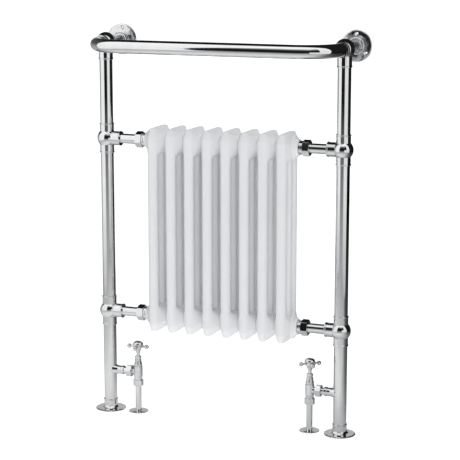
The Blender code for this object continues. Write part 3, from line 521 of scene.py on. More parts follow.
def make_ball_tee(side, level):
    """A ball with sockets for two post tubes and a connector, and once a boss for the air vent."""
    node = f"{side}_{level}_ball_tee"
    centre = TEE_CENTRE[side, level]
    inward = Vector((-SIDES[side], 0, 0))
    reach = 36.5
    upper = collar_outline(COLLAR_RADIUS, reach, BALL_SHOULDER)
    lower = [(radius, -height, fillet) for radius, height, fillet in reversed(upper)]
    outline = [(0, reach)] + upper[:-1]
    outline += ball_arc(BALL_RADIUS, BALL_SHOULDER, -BALL_SHOULDER)
    outline += lower[1:] + [(0, -reach)]
    mesh = joined(lathe(outline, centre), side_collar(17.0, 38, centre, inward))
    cutters = [
        bar(SOCKET_BORE, 39, 22.5, centre, segments=RING_SEGMENTS),
        bar(11.5, 23, -23, centre),
        bar(SOCKET_BORE, -22.5, -39, centre, segments=RING_SEGMENTS),
        bar(CONNECTOR_SOCKET_BORE, 40, 24, centre, inward),
        bar(CONNECTOR_BORE, 25, 0, centre, inward),
    ]
    if node == "left_upper_ball_tee":
        boss = lathe([(0, 28), (6, 28, 0.6), (6, 12), (0, 12)], centre, BACKWARD, SMALL_SEGMENTS)
        mesh = joined(mesh, boss)
        cutters += [bar(3, 29, 20, centre, BACKWARD), bar(1.35, 21, 0, centre, BACKWARD)]
    show(node, drilled(mesh, *cutters), "chrome")


def make_top_ball(side):
    """The ball that joins post, towel rail and wall stay."""
    node = f"{side}_top_ball"
    centre = TOP_CENTRE[side]
    reach = 42
    collar = collar_outline(COLLAR_RADIUS, reach, BALL_SHOULDER)
    lower = [(radius, -height, fillet) for radius, height, fillet in reversed(collar)]
    outline = ball_arc(BALL_RADIUS, BALL_RADIUS, -BALL_SHOULDER, 24) + lower[1:] + [(0, -reach)]
    front = side_collar(COLLAR_RADIUS, 30, centre, FORWARD)
    rear = side_collar(15, 32, centre, BACKWARD)
    mesh = joined(lathe(outline, centre), front, rear)
    mesh = drilled(
        mesh,
        bar(SOCKET_BORE, -28, -44, centre, segments=RING_SEGMENTS),
        bar(11.5, 0, -29, centre),
        bar(SOCKET_BORE, 32, 18, centre, FORWARD, RING_SEGMENTS),
        bar(10.5, 19, -5, centre, FORWARD),
        bar(STAY_SOCKET_BORE, 34, 20, centre, BACKWARD),
    )
    show(node, mesh, "chrome")


# Towel rail ---------------------------------------------------------------------------
def make_towel_rail():
    """A tube swept along a U in the horizontal plane."""
    low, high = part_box("towel_rail")
    post_x = POST_TUBE["right"].x
    radius = POST_RADIUS * MM
    run_y = low.y + radius
    bend = RAIL_BEND * MM
    half = []
    for step in range(BEND_STEPS + 1):
        angle = math.pi / 2 * step / BEND_STEPS
        half.append(
            (
                post_x - bend + bend * math.sin(angle),
                run_y + bend - bend * math.cos(angle),
                Vector((math.cos(angle), math.sin(angle), 0)),
            )
        )
    half.append((post_x, high.y, Vector((0, 1, 0))))
    route = [(-x, y, Vector((t.x, -t.y, 0))) for x, y, t in reversed(half)] + half
    shape = bmesh.new()
    rings = []
    for x, y, tangent in route:
        side_direction = tangent.cross(UP)
        ring = []
        for step in range(RING_SEGMENTS):
            angle = 2 * math.pi * step / RING_SEGMENTS
            offset = side_direction * math.cos(angle) + UP * math.sin(angle)
            ring.append(shape.verts.new(Vector((x, y, RAIL_HEIGHT)) + offset * radius))
        rings.append(ring)
    for first, second in zip(rings, rings[1:]):
        for step in range(RING_SEGMENTS):
            following = (step + 1) % RING_SEGMENTS
            shape.faces.new((first[step], second[step], second[following], first[following]))
    shape.faces.new(rings[0])
    shape.faces.new(rings[-1])
    bmesh.ops.recalc_face_normals(shape, faces=shape.faces)
    mesh = bpy.data.meshes.new("rail")
    shape.to_mesh(mesh)
    shape.free()
    show("towel_rail", mesh, "chrome")


# Wall brackets ------------------------------------------------------------------------
def make_wall_bracket(side):
    """A stepped round flange with three countersunk screw holes, and the stay to the top ball."""
    node = f"{side}_wall_bracket"
    origin = Vector((POST_TUBE[side].x, WALL_Y, RAIL_HEIGHT))
    outline = [
        (0, 77.7),
        (STAY_RADIUS, 77.7, 0.4),
        (STAY_RADIUS, 18, 0.8),
        (15.2, 18, 0.7),
        (16.8, 16.2, 0.8),
        (16.8, 7.6, 0.9),
        (18.6, 7.6, 0.6),
        (20, 6.6, 0.6),
        (20, 5.0, 0.5),
        (27, 4.9, 6),
        (34.2, 3.9, 3),
        (36.4, 3.3, 0.6),
        (FLANGE_RADIUS, 2.2, 0.7),
        (FLANGE_RADIUS, 0, 0.2),
        (0, 0),
    ]
    mesh = lathe(outline, origin, FORWARD)
    hole = [(0, 6), (6.5, 6), (2.6, 2.1), (2.6, -1), (0, -1)]
    for degrees in SCREW_ANGLES:
        angle = math.radians(degrees)
        offset = Vector((math.cos(angle), 0, math.sin(angle))) * SCREW_CIRCLE * MM
        mesh = drilled(mesh, lathe(hole, origin + offset, FORWARD, SMALL_SEGMENTS))
    show(node, mesh, "chrome", SATIN_CHROME)


# Hexagonal nuts -----------------------------------------------------------------------
def hexagon_nut(node, flats, bore_sections, axis, turn=0, material=None):
    """A nut with softened corners and turned chamfers; bores are (radius, top, bottom)."""
    centre = middle(node)
    length = abs(size(node).dot(Vector(axis))) / MM
    corner = flats / math.sqrt(3)
    prism = bmesh.new()
    bmesh.ops.create_cone(
        prism,
        cap_ends=True,
        segments=6,
        radius1=corner * MM,
        radius2=corner * MM,
        depth=(length + 4) * MM,
    )
    edges = [edge for edge in prism.edges if abs(edge.verts[0].co.z - edge.verts[1].co.z) > MM]
    bmesh.ops.bevel(
        prism, geom=edges, offset=NUT_CORNER_BEVEL * MM, segments=3, affect="EDGES", profile=0.5
    )
    prism_mesh = bpy.data.meshes.new("prism")
    prism.to_mesh(prism_mesh)
    prism.free()
    spin = Matrix.Rotation(math.radians(turn), 4, "Z")
    prism_mesh.transform(axis_matrix(centre, axis) @ spin)
    half = length / 2
    rim = flats / 2 - 0.2
    chamfer = (corner - rim) * NUT_CHAMFER_SLOPE
    barrel_outline = [
        (0, half),
        (rim, half, 0.5),
        (corner + 0.3, half - chamfer),
        (corner + 0.3, -half + chamfer),
        (rim, -half, 0.5),
        (0, -half),
    ]
    mesh = combined(prism_mesh, lathe(barrel_outline, centre, axis), "INTERSECT")
    for radius, top, bottom in bore_sections(half):
        mesh = drilled(mesh, bar(radius, top, bottom, centre, axis, RING_SEGMENTS))
    show(node, mesh, "chrome", material)


def make_connector(side, level):
    """Tube, union nut and bush between a ball joint and the insert."""
    sign = SIDES[side]
    inward = Vector((-sign, 0, 0))

    tube = f"{side}_{level}_connector_tube"
    half_length = size(tube).x / MM / 2
    outline = tube_outline(CONNECTOR_RADIUS, CONNECTOR_BORE, half_length, -half_length)
    show(tube, lathe(outline, middle(tube), inward), "chrome")

    def union_bores(half):
        step = half - SPIGOT_LENGTH
        return ((14.3, half + 1, step), (CONNECTOR_SOCKET_BORE, step + 0.01, -half - 1))

    nut = f"{side}_{level}_union_nut"
    hexagon_nut(nut, UNION_NUT_FLATS, union_bores, inward, -sign * UNION_NUT_TURN[side])

    bush = f"{side}_{level}_bush"
    low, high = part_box(bush)
    nut_face = middle(nut).x - sign * size(nut).x / 2
    origin = Vector((nut_face - sign * GAP * MM, PLANE_Y, middle(bush).z))
    inner_end = low.x if sign > 0 else high.x
    spigot_end = abs(inner_end - origin.x) / MM
    flange_length = spigot_end - 12
    outline = [
        (8, -SPIGOT_LENGTH),
        (14, -SPIGOT_LENGTH, 0.4),
        (14, 0),
        (16.5, 0, 0.8),
        (16.5, flange_length * 0.42, 0.5),
        (15.6, flange_length * 0.5, 0.3),
        (16.5, flange_length * 0.58, 0.5),
        (16.5, flange_length, 0.6),
        (12, flange_length),
        (12, spigot_end, 0.5),
        (8, spigot_end),
    ]
    show(bush, lathe(outline, origin, inward), "chrome")


# Radiator sections --------------------------------------------------------------------
def head_solid(half_width):
    """A rough upper head with tube stubs, about the hub's centre, in millimetres."""
    shape = bmesh.new()
    ring_count = 48
    for side_x in (-half_width, half_width):
        for step in range(ring_count):
            angle = 2 * math.pi * step / ring_count
            shape.verts.new((side_x, HUB_RADIUS * math.cos(angle), HUB_RADIUS * math.sin(angle)))
    for row_y in (-ROW_SPACING, ROW_SPACING):
        for step in range(ring_count):
            angle = 2 * math.pi * step / ring_count
            for radius, height in HEAD_RINGS:
                x = radius * math.cos(angle)
                y = row_y + radius * math.sin(angle)
                shape.verts.new((x, y, height))
    result = bmesh.ops.convex_hull(shape, input=shape.verts)
    inside = [item for item in result["geom_interior"] if isinstance(item, bmesh.types.BMVert)]
    bmesh.ops.delete(shape, geom=inside, context="VERTS")
    for row_y in (-ROW_SPACING, 0, ROW_SPACING):
        bmesh.ops.create_cone(
            shape,
            cap_ends=True,
            segments=ring_count,
            radius1=COLUMN_RADIUS,
            radius2=COLUMN_RADIUS,
            depth=75,
            matrix=Matrix.Translation((0, row_y, -42)),
        )
    mesh = bpy.data.meshes.new("head")
    shape.to_mesh(mesh)
    shape.free()
    return mesh


def remeshed(mesh, voxel, smoothing):
    """The mesh rebuilt as one even, softened surface; the old mesh is removed."""
    obj = bpy.data.objects.new("rough", mesh)
    bpy.context.scene.collection.objects.link(obj)
    remesh = obj.modifiers.new("remesh", "REMESH")
    remesh.mode = "VOXEL"
    remesh.voxel_size = voxel
    soften = obj.modifiers.new("soften", "SMOOTH")
    soften.factor = 0.5
    soften.iterations = smoothing
    bpy.context.view_layer.update()
    result = bpy.data.meshes.new_from_object(
        obj.evaluated_get(bpy.context.evaluated_depsgraph_get())
    )
    bpy.data.objects.remove(obj)
    bpy.data.meshes.remove(mesh)
    return result


def section_mesh(head_height, boss_sign):
    """Two mirrored heads and three tubes as one closed surface, about the section's middle.

    head_height is the hub's height above the middle.  boss_sign is -1 or 1 where that
    side's hubs are lengthened towards a connector, and 0 on an inner section.
    """
    half_width = size("radiator_section_4").x / 2 / MM
    rough = remeshed(head_solid(half_width), HEAD_VOXEL, HEAD_SMOOTHING)
    head = bmesh.new()
    head.from_mesh(rough)
    bpy.data.meshes.remove(rough)
    cut = -56.0
    geometry = head.verts[:] + head.edges[:] + head.faces[:]
    bmesh.ops.bisect_plane(
        head, geom=geometry, plane_co=(0, 0, cut), plane_no=(0, 0, 1), clear_inner=True
    )
    # The hub faces are flattened again, and the stubs pass into exact circles.
    flat_depth = 0.9
    blend_top = -34.0
    blend_bottom = -44.0
    for vert in head.verts:
        if abs(vert.co.x) > half_width - flat_depth:
            vert.co.x = math.copysign(half_width, vert.co.x)
        if vert.co.z < blend_top:
            row_y = ROW_SPACING * round(vert.co.y / ROW_SPACING)
            offset = Vector((vert.co.x, vert.co.y - row_y))
            weight = min(1.0, (blend_top - vert.co.z) / (blend_top - blend_bottom))
            radius = offset.length + (COLUMN_RADIUS - offset.length) * weight
            offset = offset.normalized() * radius
            vert.co.x = offset.x
            vert.co.y = row_y + offset.y
    head.verts.ensure_lookup_table()
    count = len(head.verts)
    coordinates = np.array([vert.co for vert in head.verts])
    faces = [[vert.index for vert in face.verts] for face in head.faces]
    # Open edges along the cut, each in the order of the face beside it.
    rim_edges = []
    for edge in head.edges:
        if not edge.is_boundary:
            continue
        first, second = (vert.index for vert in edge.verts)
        order = [vert.index for vert in edge.link_faces[0].verts]
        if order[(order.index(first) + 1) % len(order)] != second:
            first, second = second, first
        rim_edges.append((first, second))
    head.free()
    upper = coordinates * MM
    upper[:, 2] += head_height
    lower = upper * np.array([1, 1, -1])
    all_faces = list(faces)
    all_faces += [[index + count for index in reversed(face)] for face in faces]
    all_faces += [[second, first, first + count, second + count] for first, second in rim_edges]
    mesh = bpy.data.meshes.new("section")
    mesh.from_pydata(np.concatenate([upper, lower]).tolist(), [], all_faces)
    mesh.validate()
    if boss_sign:
        axis = Vector((boss_sign, 0, 0))
        hub_x = boss_sign * half_width * MM
        hub_ends = [Vector((hub_x, 0, height)) for height in (-head_height, head_height)]
        outline = [
            (0, HUB_EXTENSION),
            (19.5, HUB_EXTENSION, 1.2),
            (21.5, 4, 4),
            (29, -3, 4),
            (29, -6),
            (0, -6),
        ]
        mesh = joined(mesh, *(lathe(outline, end, axis) for end in hub_ends))
        mesh = drilled(mesh, *(bar(HUB_BORE, 9, -10, end, axis) for end in hub_ends))
    return mesh


def make_sections():
    """Six copies of an inner section, and two end sections with lengthened hubs."""
    upper = TEE_CENTRE["left", "upper"].z
    lower = TEE_CENTRE["left", "lower"].z
    head_height = (upper - lower) / 2
    inner_half_width = size("radiator_section_4").x / 2
    inner_mesh = section_mesh(head_height, 0)
    for number in range(1, SECTION_COUNT + 1):
        node = f"radiator_section_{number}"
        low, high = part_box(node)
        if number == 1:
            mesh = section_mesh(head_height, -1)
            centre_x = high.x - inner_half_width
        elif number == SECTION_COUNT:
            mesh = section_mesh(head_height, 1)
            centre_x = low.x + inner_half_width
        else:
            mesh = inner_mesh.copy()
            centre_x = (low.x + high.x) / 2
        mesh.transform(Matrix.Translation((centre_x, PLANE_Y, (upper + lower) / 2)))
        show(node, mesh, "white_paint")
    bpy.data.meshes.remove(inner_mesh)


# Valves -------------------------------------------------------------------------------
def make_valve_body(side):
    """Cast barrel with a foot for the pipe nut and a branch towards the post."""
    node = f"{side}_valve_body"
    origin = VALVE_AXIS[side]
    outward = Vector((SIDES[side], 0, 0))
    branch_origin = origin + Vector((0, 0, OUTLET_HEIGHT))
    outline = [
        (0, 118),
        (9.4, 118, 0.2),
        (9.4, 116.4, 0.4),
        (10.8, 115.6, 0.5),
        (10.8, 92, 3),
        (9.7, 84, 1.5),
        (9.6, 75, 0.4),
        (0, 75),
    ]
    branch = lathe(
        [(0, 24.5), (8, 24.5, 0.4), (8, 15, 3), (9.4, 8.5), (0, 4)], branch_origin, outward
    )
    mesh = joined(lathe(outline, origin), branch)
    mesh = drilled(
        mesh,
        bar(8.8, 119, 96.5, origin),
        bar(WATERWAY, 97, 88, origin),
        bar(7.8, 88.3, 74, origin),
        bar(WATERWAY, 25.5, 0, branch_origin, outward),
    )
    show(node, mesh, "chrome", CAST_CHROME)


def make_valve_side_union(side):
    """The nut and tail that join a valve body to the post's outlet."""
    outward = Vector((SIDES[side], 0, 0))
    branch_origin = VALVE_AXIS[side] + Vector((0, 0, OUTLET_HEIGHT))
    nut_centre = abs(middle(f"{side}_valve_union_nut").x - VALVE_AXIS[side].x) / MM

    def side_bores(half):
        step = 27.1 - nut_centre
        return ((7.0, half + 1, step - 0.01), (TAIL_SOCKET_BORE, step, -half - 1))

    turn = -SIDES[side] * VALVE_NUT_TURN
    hexagon_nut(f"{side}_valve_union_nut", VALVE_NUT_FLATS, side_bores, outward, turn)
    outline = [
        (WATERWAY, 53),
        (8, 53, 0.4),
        (8, 37.0),
        (8.8, 37.0, 0.4),
        (8.6, 33.5, 4),
        (8.8, 29.8, 0.4),
        (6.7, 29.8),
        (6.7, 26.8),
        (8, 26.8),
        (8, 24.8),
        (WATERWAY, 24.8),
    ]
    show(f"{side}_valve_tail", lathe(outline, branch_origin, outward), "chrome")


def make_valve_pipe(side):
    """Supply pipe, its compression nut and the rose on the floor."""
    origin = VALVE_AXIS[side]
    pipe = lathe(tube_outline(7.5, 6.8, 88, 0), origin, UP, SMALL_SEGMENTS)
    show(f"{side}_supply_pipe", pipe, "chrome")
    nut = f"{side}_pipe_nut"
    nut_centre = middle(nut).z / MM

    def pipe_bores(half):
        step = 74.7 - nut_centre
        return ((9.9, half + 1, step), (7.8, step + 0.01, -half - 1))

    hexagon_nut(nut, PIPE_NUT_FLATS, pipe_bores, UP, 0, CAST_CHROME)
    outline = [
        (7.8, 4),
        (9.4, 4, 0.6),
        (12.5, 3.5, 3),
        (18, 2.6, 3),
        (23.8, 1.3, 0.6),
        (24.5, 0.7, 0.3),
        (24.5, 0),
        (7.8, 0),
    ]
    show(f"{side}_pipe_rose", lathe(outline, origin), "chrome", CAST_CHROME)


def make_valve_top(side):
    """Bonnet, gland nut and the clack under the spindle."""
    origin = VALVE_AXIS[side]
    bonnet = [
        (6.3, 134.4),
        (7.2, 134.4, 0.4),
        (7.9, 133.4, 0.6),
        (8.3, 128.5, 3),
        (9.4, 121.8, 0.6),
        (10.2, 121.2, 0.4),
        (10.2, 119.4, 0.4),
        (9.0, 118.6, 0.2),
        (9.0, 118.3),
        (8.5, 118.3),
        (8.5, 110, 0.4),
        (4.3, 110),
        (4.3, 127),
        (6.3, 127),
    ]
    show(f"{side}_valve_bonnet", lathe(bonnet, origin), "chrome", CAST_CHROME)
    gland = [
        (4.3, 142.8),
        (6.6, 142.8, 0.8),
        (7.8, 141.6, 0.8),
        (7.8, 137.4, 0.5),
        (6.7, 136.4, 0.3),
        (6.7, 134.7),
        (6, 134.7),
        (6, 127.3),
        (4.3, 127.3),
    ]
    show(f"{side}_gland_nut", lathe(gland, origin), "chrome", CAST_CHROME)
    clack = [
        (0, 106.5),
        (3, 106.5, 0.3),
        (3, 100, 0.5),
        (7.6, 100, 0.4),
        (7.6, 96.8, 0.5),
        (0, 96.8),
    ]
    show(f"{side}_clack", lathe(clack, origin, UP, SMALL_SEGMENTS), "brass")


def arm_outline():
    """Half of a cross arm, from the hub's axis out to the ball at its tip."""
    neck_radius = 2.7
    neck = ARM_REACH - math.sqrt(ARM_BALL_RADIUS**2 - neck_radius**2)
    points = ball_arc(ARM_BALL_RADIUS, ARM_REACH + ARM_BALL_RADIUS, neck, 16, ARM_REACH)
    points[-1] = (points[-1][0], points[-1][1], 0.8)
    points += [(2.9, 14.5, 3), (3.7, 10.5, 2), (4.6, 8.0), (0, 0)]
    return points


def make_handle(side):
    """Spindle, hub and four ball-ended arms, with a domed cap."""
    node = f"{side}_handle"
    origin = VALVE_AXIS[side]
    centre = origin + Vector((0, 0, ARM_HEIGHT * MM))
    hub = [
        (0, 171),
        (9.6, 171, 0.9),
        (9.6, 163.4, 2.5),
        (7.2, 158.5, 3),
        (5.9, 155.5, 1),
        (5.9, 153.8, 0.6),
        (4.8, 152.6, 0.6),
        (4.8, 151, 0.5),
        (4, 151),
        (4, 106.8, 0.3),
        (0, 106.8),
    ]
    mesh = lathe(hub, origin)
    rest_angle = math.radians(HANDLE_REST_ANGLE[side])
    for quarter in range(4):
        angle = rest_angle + quarter * math.pi / 2
        direction = Vector((math.cos(angle), math.sin(angle), 0))
        mesh = joined(mesh, lathe(arm_outline(), centre, direction, SMALL_SEGMENTS))
    mesh = drilled(mesh, bar(3.3, 172, 164.4, origin))
    show(node, mesh, "chrome", CAST_CHROME)
    cap_radius = 12.3
    dome_base = 172.3
    dome_rise = 8.7
    fullness = 0.9
    steps = 20
    cap = [(0, dome_base + dome_rise)]
    for step in range(1, steps):
        angle = math.pi / 2 * step / steps
        radius = cap_radius * math.sin(angle) ** fullness
        cap.append((radius, dome_base + dome_rise * math.cos(angle) ** fullness))
    cap += [(cap_radius, 172.1, 0.5), (11.7, 171.3, 0.3), (3, 171.3), (3, 165.3, 0.3), (0, 165.3)]
    show(f"{side}_handle_cap", lathe(cap, origin), "chrome", CAST_CHROME)


def make_air_vent():
    """A screw with a square head for a radiator key."""
    node = "air_vent_screw"
    centre = TEE_CENTRE["left", "upper"]
    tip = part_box(node)[1].y
    outline = [(0, 28.5), (2.7, 28.5), (2.7, 20.3, 0.4), (0, 20.3)]
    shank = lathe(outline, centre, BACKWARD, SMALL_SEGMENTS)
    width = 5 * MM
    depth = 4 * MM
    head = bmesh.new()
    bmesh.ops.create_cube(head, size=1)
    bmesh.ops.scale(head, verts=head.verts, vec=(width, depth, width))
    bmesh.ops.bevel(
        head, geom=head.edges[:], offset=0.4 * MM, segments=3, affect="EDGES", profile=0.5
    )
    head_mesh = bpy.data.meshes.new("vent_head")
    head.to_mesh(head_mesh)
    head.free()
    head_mesh.transform(Matrix.Translation((centre.x, tip - depth / 2, centre.z)))
    show(node, joined(shank, head_mesh), "brass")


for side_name in SIDES:
    make_floor_flange(side_name)
    make_post_tubes(side_name)
    make_lower_post(side_name)
    for level_name in LEVELS:
        make_ball_tee(side_name, level_name)
        make_connector(side_name, level_name)
    make_top_ball(side_name)
    make_wall_bracket(side_name)
    make_valve_body(side_name)
    make_valve_side_union(side_name)
    make_valve_pipe(side_name)
    make_valve_top(side_name)
    make_handle(side_name)
make_towel_rail()
make_air_vent()
make_sections()


# Studio -------------------------------------------------------------------------------
# Glow levels, where 1 shows as white
FILL_LEVEL = 0.2
UNLIT = 0.012
WHITE = 0.95
BRIGHT = 1.1

# Places in metres; the stops below are (height or distance, glow)
ROOM_HALF_WIDTH = 4.0
ROOM_HEIGHT = 3.5
ROOF_HEIGHT = 3.3
ROOF_HALF_WIDTH = 2
ROOF_REAR = -0.2
FLOOR_HALF_WIDTH = 30.0
OPENING_LEFT = (-0.64, -1.6)
OPENING_RIGHT = (1.08, -1.6)
RIGHT_MIDDLE = (1.45, -0.88)
RIGHT_REAR = (1.8, -0.1)
LEFT_REAR = (-1.8, -0.1)
LEFT_BACK = (-1.82, -0.08)
BACK_LEFT = (-1.6, 1.6)
BACK_MIDDLE = (0.2, 1.6)
# What the front panels show above head height
UPPER_GLOW = [(1.5, UNLIT), (1.9, 0.17), (2.3, 0.5), (2.8, 0.9), (ROOF_HEIGHT, BRIGHT)]
# How the mirrored floor fades with distance from the middle, and along a direction that
# runs to the back and a little to the right; FLOOR_FALL counts from FLOOR_START in front
FLOOR_DIRECTION = (0.35, 1, 0)
FLOOR_START = 1.0
FLOOR_REACH = [
    (0.0, 0.84),
    (0.6, 0.8),
    (0.75, 0.7),
    (1.2, 0.55),
    (1.6, 0.44),
    (2.2, 0.25),
    (3.0, 0.03),
]
FLOOR_FALL = [
    (0.0, 1.0),
    (0.75, 1.0),
    (0.9, 0.8),
    (1.1, 0.6),
    (1.2, 0.45),
    (1.4, 0.22),
    (2.0, 0.1),
]

# Camera, in millimetres for the lens and metres for the places
CAMERA_LENS = 124.69
CAMERA_SENSOR = 36
CAMERA_PLACE = (1.32442, -3.49840, 1.22246)
CAMERA_TARGET = (0.02006, 0.01695, 0.47885)


def glow_material(name):
    """An emission shader whose strength is still to be linked."""
    material = bpy.data.materials.new(name)
    material.use_nodes = True
    tree = material.node_tree
    tree.nodes.clear()
    output = tree.nodes.new("ShaderNodeOutputMaterial")
    glow = tree.nodes.new("ShaderNodeEmission")
    tree.links.new(glow.outputs[0], output.inputs["Surface"])
    return material, tree, glow


def ramp_stops(tree, source, stops):
    """Grey levels along a value, given as (value, level) pairs in rising order."""
    reach = stops[-1][0]
    scaled = tree.nodes.new("ShaderNodeMath")
    scaled.operation = "DIVIDE"
    scaled.inputs[1].default_value = reach
    tree.links.new(source, scaled.inputs[0])
    ramp = tree.nodes.new("ShaderNodeValToRGB")
    elements = ramp.color_ramp.elements
    while len(elements) < len(stops):
        elements.new(0.5)
    for element, (value, level) in zip(elements, stops):
        element.position = value / reach
        element.color = (level, level, level, 1)
    tree.links.new(scaled.outputs[0], ramp.inputs["Fac"])
    return ramp.outputs["Color"]


def rectangle(left, right, front, rear):
    """The four corners of a rectangle on the floor, in order round it."""
    return [(left, front), (right, front), (right, rear), (left, rear)]


def reflected_only(name, vertices, faces, material):
    """A studio surface that shows only in reflections."""
    mesh = bpy.data.meshes.new(name)
    mesh.from_pydata(vertices, [], faces)
    mesh.materials.append(material)
    panel = bpy.data.objects.new(name, mesh)
    bpy.context.scene.collection.objects.link(panel)
    panel.visible_camera = False
    panel.visible_diffuse = False
    panel.visible_shadow = False
    panel.visible_transmission = False


def standing_panel(name, start, end, stops):
    """An upright panel between two floor points, graded by its stops and as high as the last."""
    material, tree, glow = glow_material(name)
    coordinates = tree.nodes.new("ShaderNodeTexCoord")
    split = tree.nodes.new("ShaderNodeSeparateXYZ")
    tree.links.new(coordinates.outputs["Object"], split.inputs[0])
    tree.links.new(ramp_stops(tree, split.outputs["Z"], stops), glow.inputs["Color"])
    top = stops[-1][0]
    corners = [(*start, 0.0), (*end, 0.0), (*end, top), (*start, top)]
    reflected_only(name, corners, [(0, 1, 2, 3)], material)


def make_roof():
    """A bright sheet over the front half of the set."""
    material, _, glow = glow_material("roof")
    glow.inputs["Strength"].default_value = BRIGHT
    half = ROOF_HALF_WIDTH
    outline = rectangle(-half, half, OPENING_LEFT[1], ROOF_REAR)
    corners = [(x, y, ROOF_HEIGHT) for x, y in outline]
    reflected_only("roof", corners, [(0, 1, 2, 3)], material)


def make_dark_room():
    """An unlit room round the set, so that polished metal has something dark to mirror."""
    material, _, glow = glow_material("dark_room")
    glow.inputs["Strength"].default_value = UNLIT
    half = ROOM_HALF_WIDTH
    outline = rectangle(-half, half, -half, half)
    corners = [(x, y, z) for z in (-0.01, ROOM_HEIGHT) for x, y in outline]
    faces = [(4, 5, 6, 7), (0, 1, 5, 4), (1, 2, 6, 5), (2, 3, 7, 6), (3, 0, 4, 7)]
    reflected_only("dark_room", corners, faces, material)


def make_mirrored_floor():
    """What polished metal sees of the floor: bright near by, darker further out and behind."""
    material, tree, glow = glow_material("mirrored_floor")
    coordinates = tree.nodes.new("ShaderNodeTexCoord")
    distance = tree.nodes.new("ShaderNodeVectorMath")
    distance.operation = "LENGTH"
    tree.links.new(coordinates.outputs["Object"], distance.inputs[0])
    behind = tree.nodes.new("ShaderNodeVectorMath")
    behind.operation = "DOT_PRODUCT"
    behind.inputs[1].default_value = FLOOR_DIRECTION
    tree.links.new(coordinates.outputs["Object"], behind.inputs[0])
    lifted = tree.nodes.new("ShaderNodeMath")
    lifted.inputs[1].default_value = FLOOR_START
    tree.links.new(behind.outputs["Value"], lifted.inputs[0])
    product = tree.nodes.new("ShaderNodeMix")
    product.data_type = "RGBA"
    product.blend_type = "MULTIPLY"
    product.inputs["Factor"].default_value = 1.0
    tree.links.new(ramp_stops(tree, distance.outputs["Value"], FLOOR_REACH), product.inputs["A"])
    tree.links.new(ramp_stops(tree, lifted.outputs[0], FLOOR_FALL), product.inputs["B"])
    tree.links.new(product.outputs["Result"], glow.inputs["Color"])
    half = ROOM_HALF_WIDTH
    corners = [(x, y, -0.0001) for x, y in rectangle(-half, half, -half, half)]
    reflected_only("mirrored_floor", corners, [(0, 1, 2, 3)], material)


def make_floor():
    """A pale floor that a white surround lights to near white."""
    mesh = bpy.data.meshes.new("studio_floor")
    half = FLOOR_HALF_WIDTH
    corners = [(x, y, 0) for x, y in rectangle(-half, half, -half, half)]
    mesh.from_pydata(corners, [], [(0, 1, 2, 3)])
    material, _, shader = principled("studio_floor")
    shader.inputs["Base Color"].default_value = (0.35, 0.35, 0.35, 1)
    shader.inputs["Roughness"].default_value = 0.9
    shader.inputs["Specular IOR Level"].default_value = 0.0
    shader.inputs["Emission Color"].default_value = (1, 1, 1, 1)
    shader.inputs["Emission Strength"].default_value = 0.9
    mesh.materials.append(material)
    floor = bpy.data.objects.new("studio_floor", mesh)
    floor.location.z = -0.0002
    bpy.context.scene.collection.objects.link(floor)


def make_world():
    """A white surround that shows at full strength and lights the set more gently."""
    world = bpy.data.worlds.new("studio")
    world.use_nodes = True
    tree = world.node_tree
    background = tree.nodes["Background"]
    background.inputs["Color"].default_value = (1, 1, 1, 1)
    light_path = tree.nodes.new("ShaderNodeLightPath")
    tree.links.new(
        map_range(tree, light_path.outputs["Is Camera Ray"], FILL_LEVEL, 1.0, 0.0, 1.0),
        background.inputs["Strength"],
    )
    bpy.context.scene.world = world


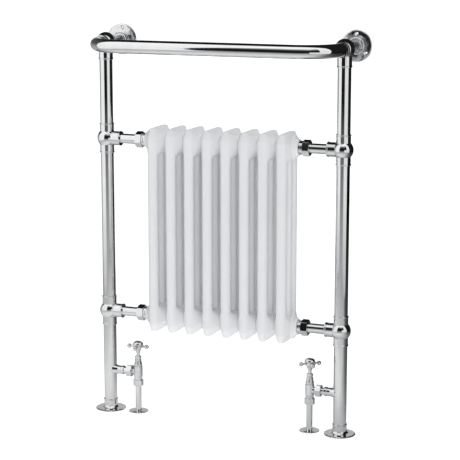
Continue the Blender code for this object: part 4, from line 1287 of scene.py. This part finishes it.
def make_soft_light(name, strength, azimuth_degrees, elevation_degrees, spread_degrees):
    """A soft light that the polished metal does not mirror; azimuth 0 is straight in front."""
    data = bpy.data.lights.new(name, "SUN")
    data.energy = strength
    data.angle = math.radians(spread_degrees)
    light = bpy.data.objects.new(name, data)
    azimuth = math.radians(azimuth_degrees)
    elevation = math.radians(elevation_degrees)
    towards_light = Vector(
        (
            math.sin(azimuth) * math.cos(elevation),
            -math.cos(azimuth) * math.cos(elevation),
            math.sin(elevation),
        )
    )
    light.rotation_euler = towards_light.to_track_quat("Z", "Y").to_euler()
    light.visible_glossy = False
    bpy.context.scene.collection.objects.link(light)


def make_camera():
    data = bpy.data.cameras.new("camera")
    data.lens = CAMERA_LENS
    data.sensor_width = CAMERA_SENSOR
    camera = bpy.data.objects.new("camera", data)
    camera.location = CAMERA_PLACE
    direction = Vector(CAMERA_TARGET) - camera.location
    camera.rotation_euler = direction.to_track_quat("-Z", "Y").to_euler()
    bpy.context.scene.collection.objects.link(camera)
    bpy.context.scene.camera = camera


def make_panels():
    """Graded panels round the front and sides, whose mirror images stripe the polished metal."""
    standing_panel(
        "front_opening",
        OPENING_LEFT,
        OPENING_RIGHT,
        [(0.0, 0.44), (0.13, 0.38), (0.33, 0.24), (0.6, 0.01)] + UPPER_GLOW,
    )
    standing_panel(
        "left_panel",
        OPENING_LEFT,
        LEFT_REAR,
        [(0.0, 0.6), (0.3, WHITE), (ROOF_HEIGHT, BRIGHT)],
    )
    standing_panel(
        "right_near_panel",
        OPENING_RIGHT,
        RIGHT_MIDDLE,
        [(0.0, 0.5), (0.3, 0.85), (0.74, 0.85), (0.86, 0.02)] + UPPER_GLOW,
    )
    standing_panel(
        "right_far_panel",
        RIGHT_MIDDLE,
        RIGHT_REAR,
        [(0.0, 0.5), (0.3, 0.85), (ROOF_HEIGHT, BRIGHT)],
    )
    standing_panel(
        "left_rear_panel",
        LEFT_BACK,
        BACK_LEFT,
        [(0.0, 0.45), (0.5, 0.4), (0.9, 0.25), (1.2, 0.1), (2.4, 0.03)],
    )
    standing_panel("rear_panel", BACK_LEFT, BACK_MIDDLE, [(0.0, 0.5), (1.2, 0.5), (1.4, 0.1)])


bpy.context.scene.view_settings.view_transform = "Standard"
make_world()
make_soft_light(
    "front_light", strength=0.7, azimuth_degrees=20, elevation_degrees=12, spread_degrees=25
)
make_soft_light(
    "top_light", strength=2.0, azimuth_degrees=160, elevation_degrees=75, spread_degrees=60
)
make_floor()
make_dark_room()
make_mirrored_floor()
make_panels()
make_roof()
make_camera()
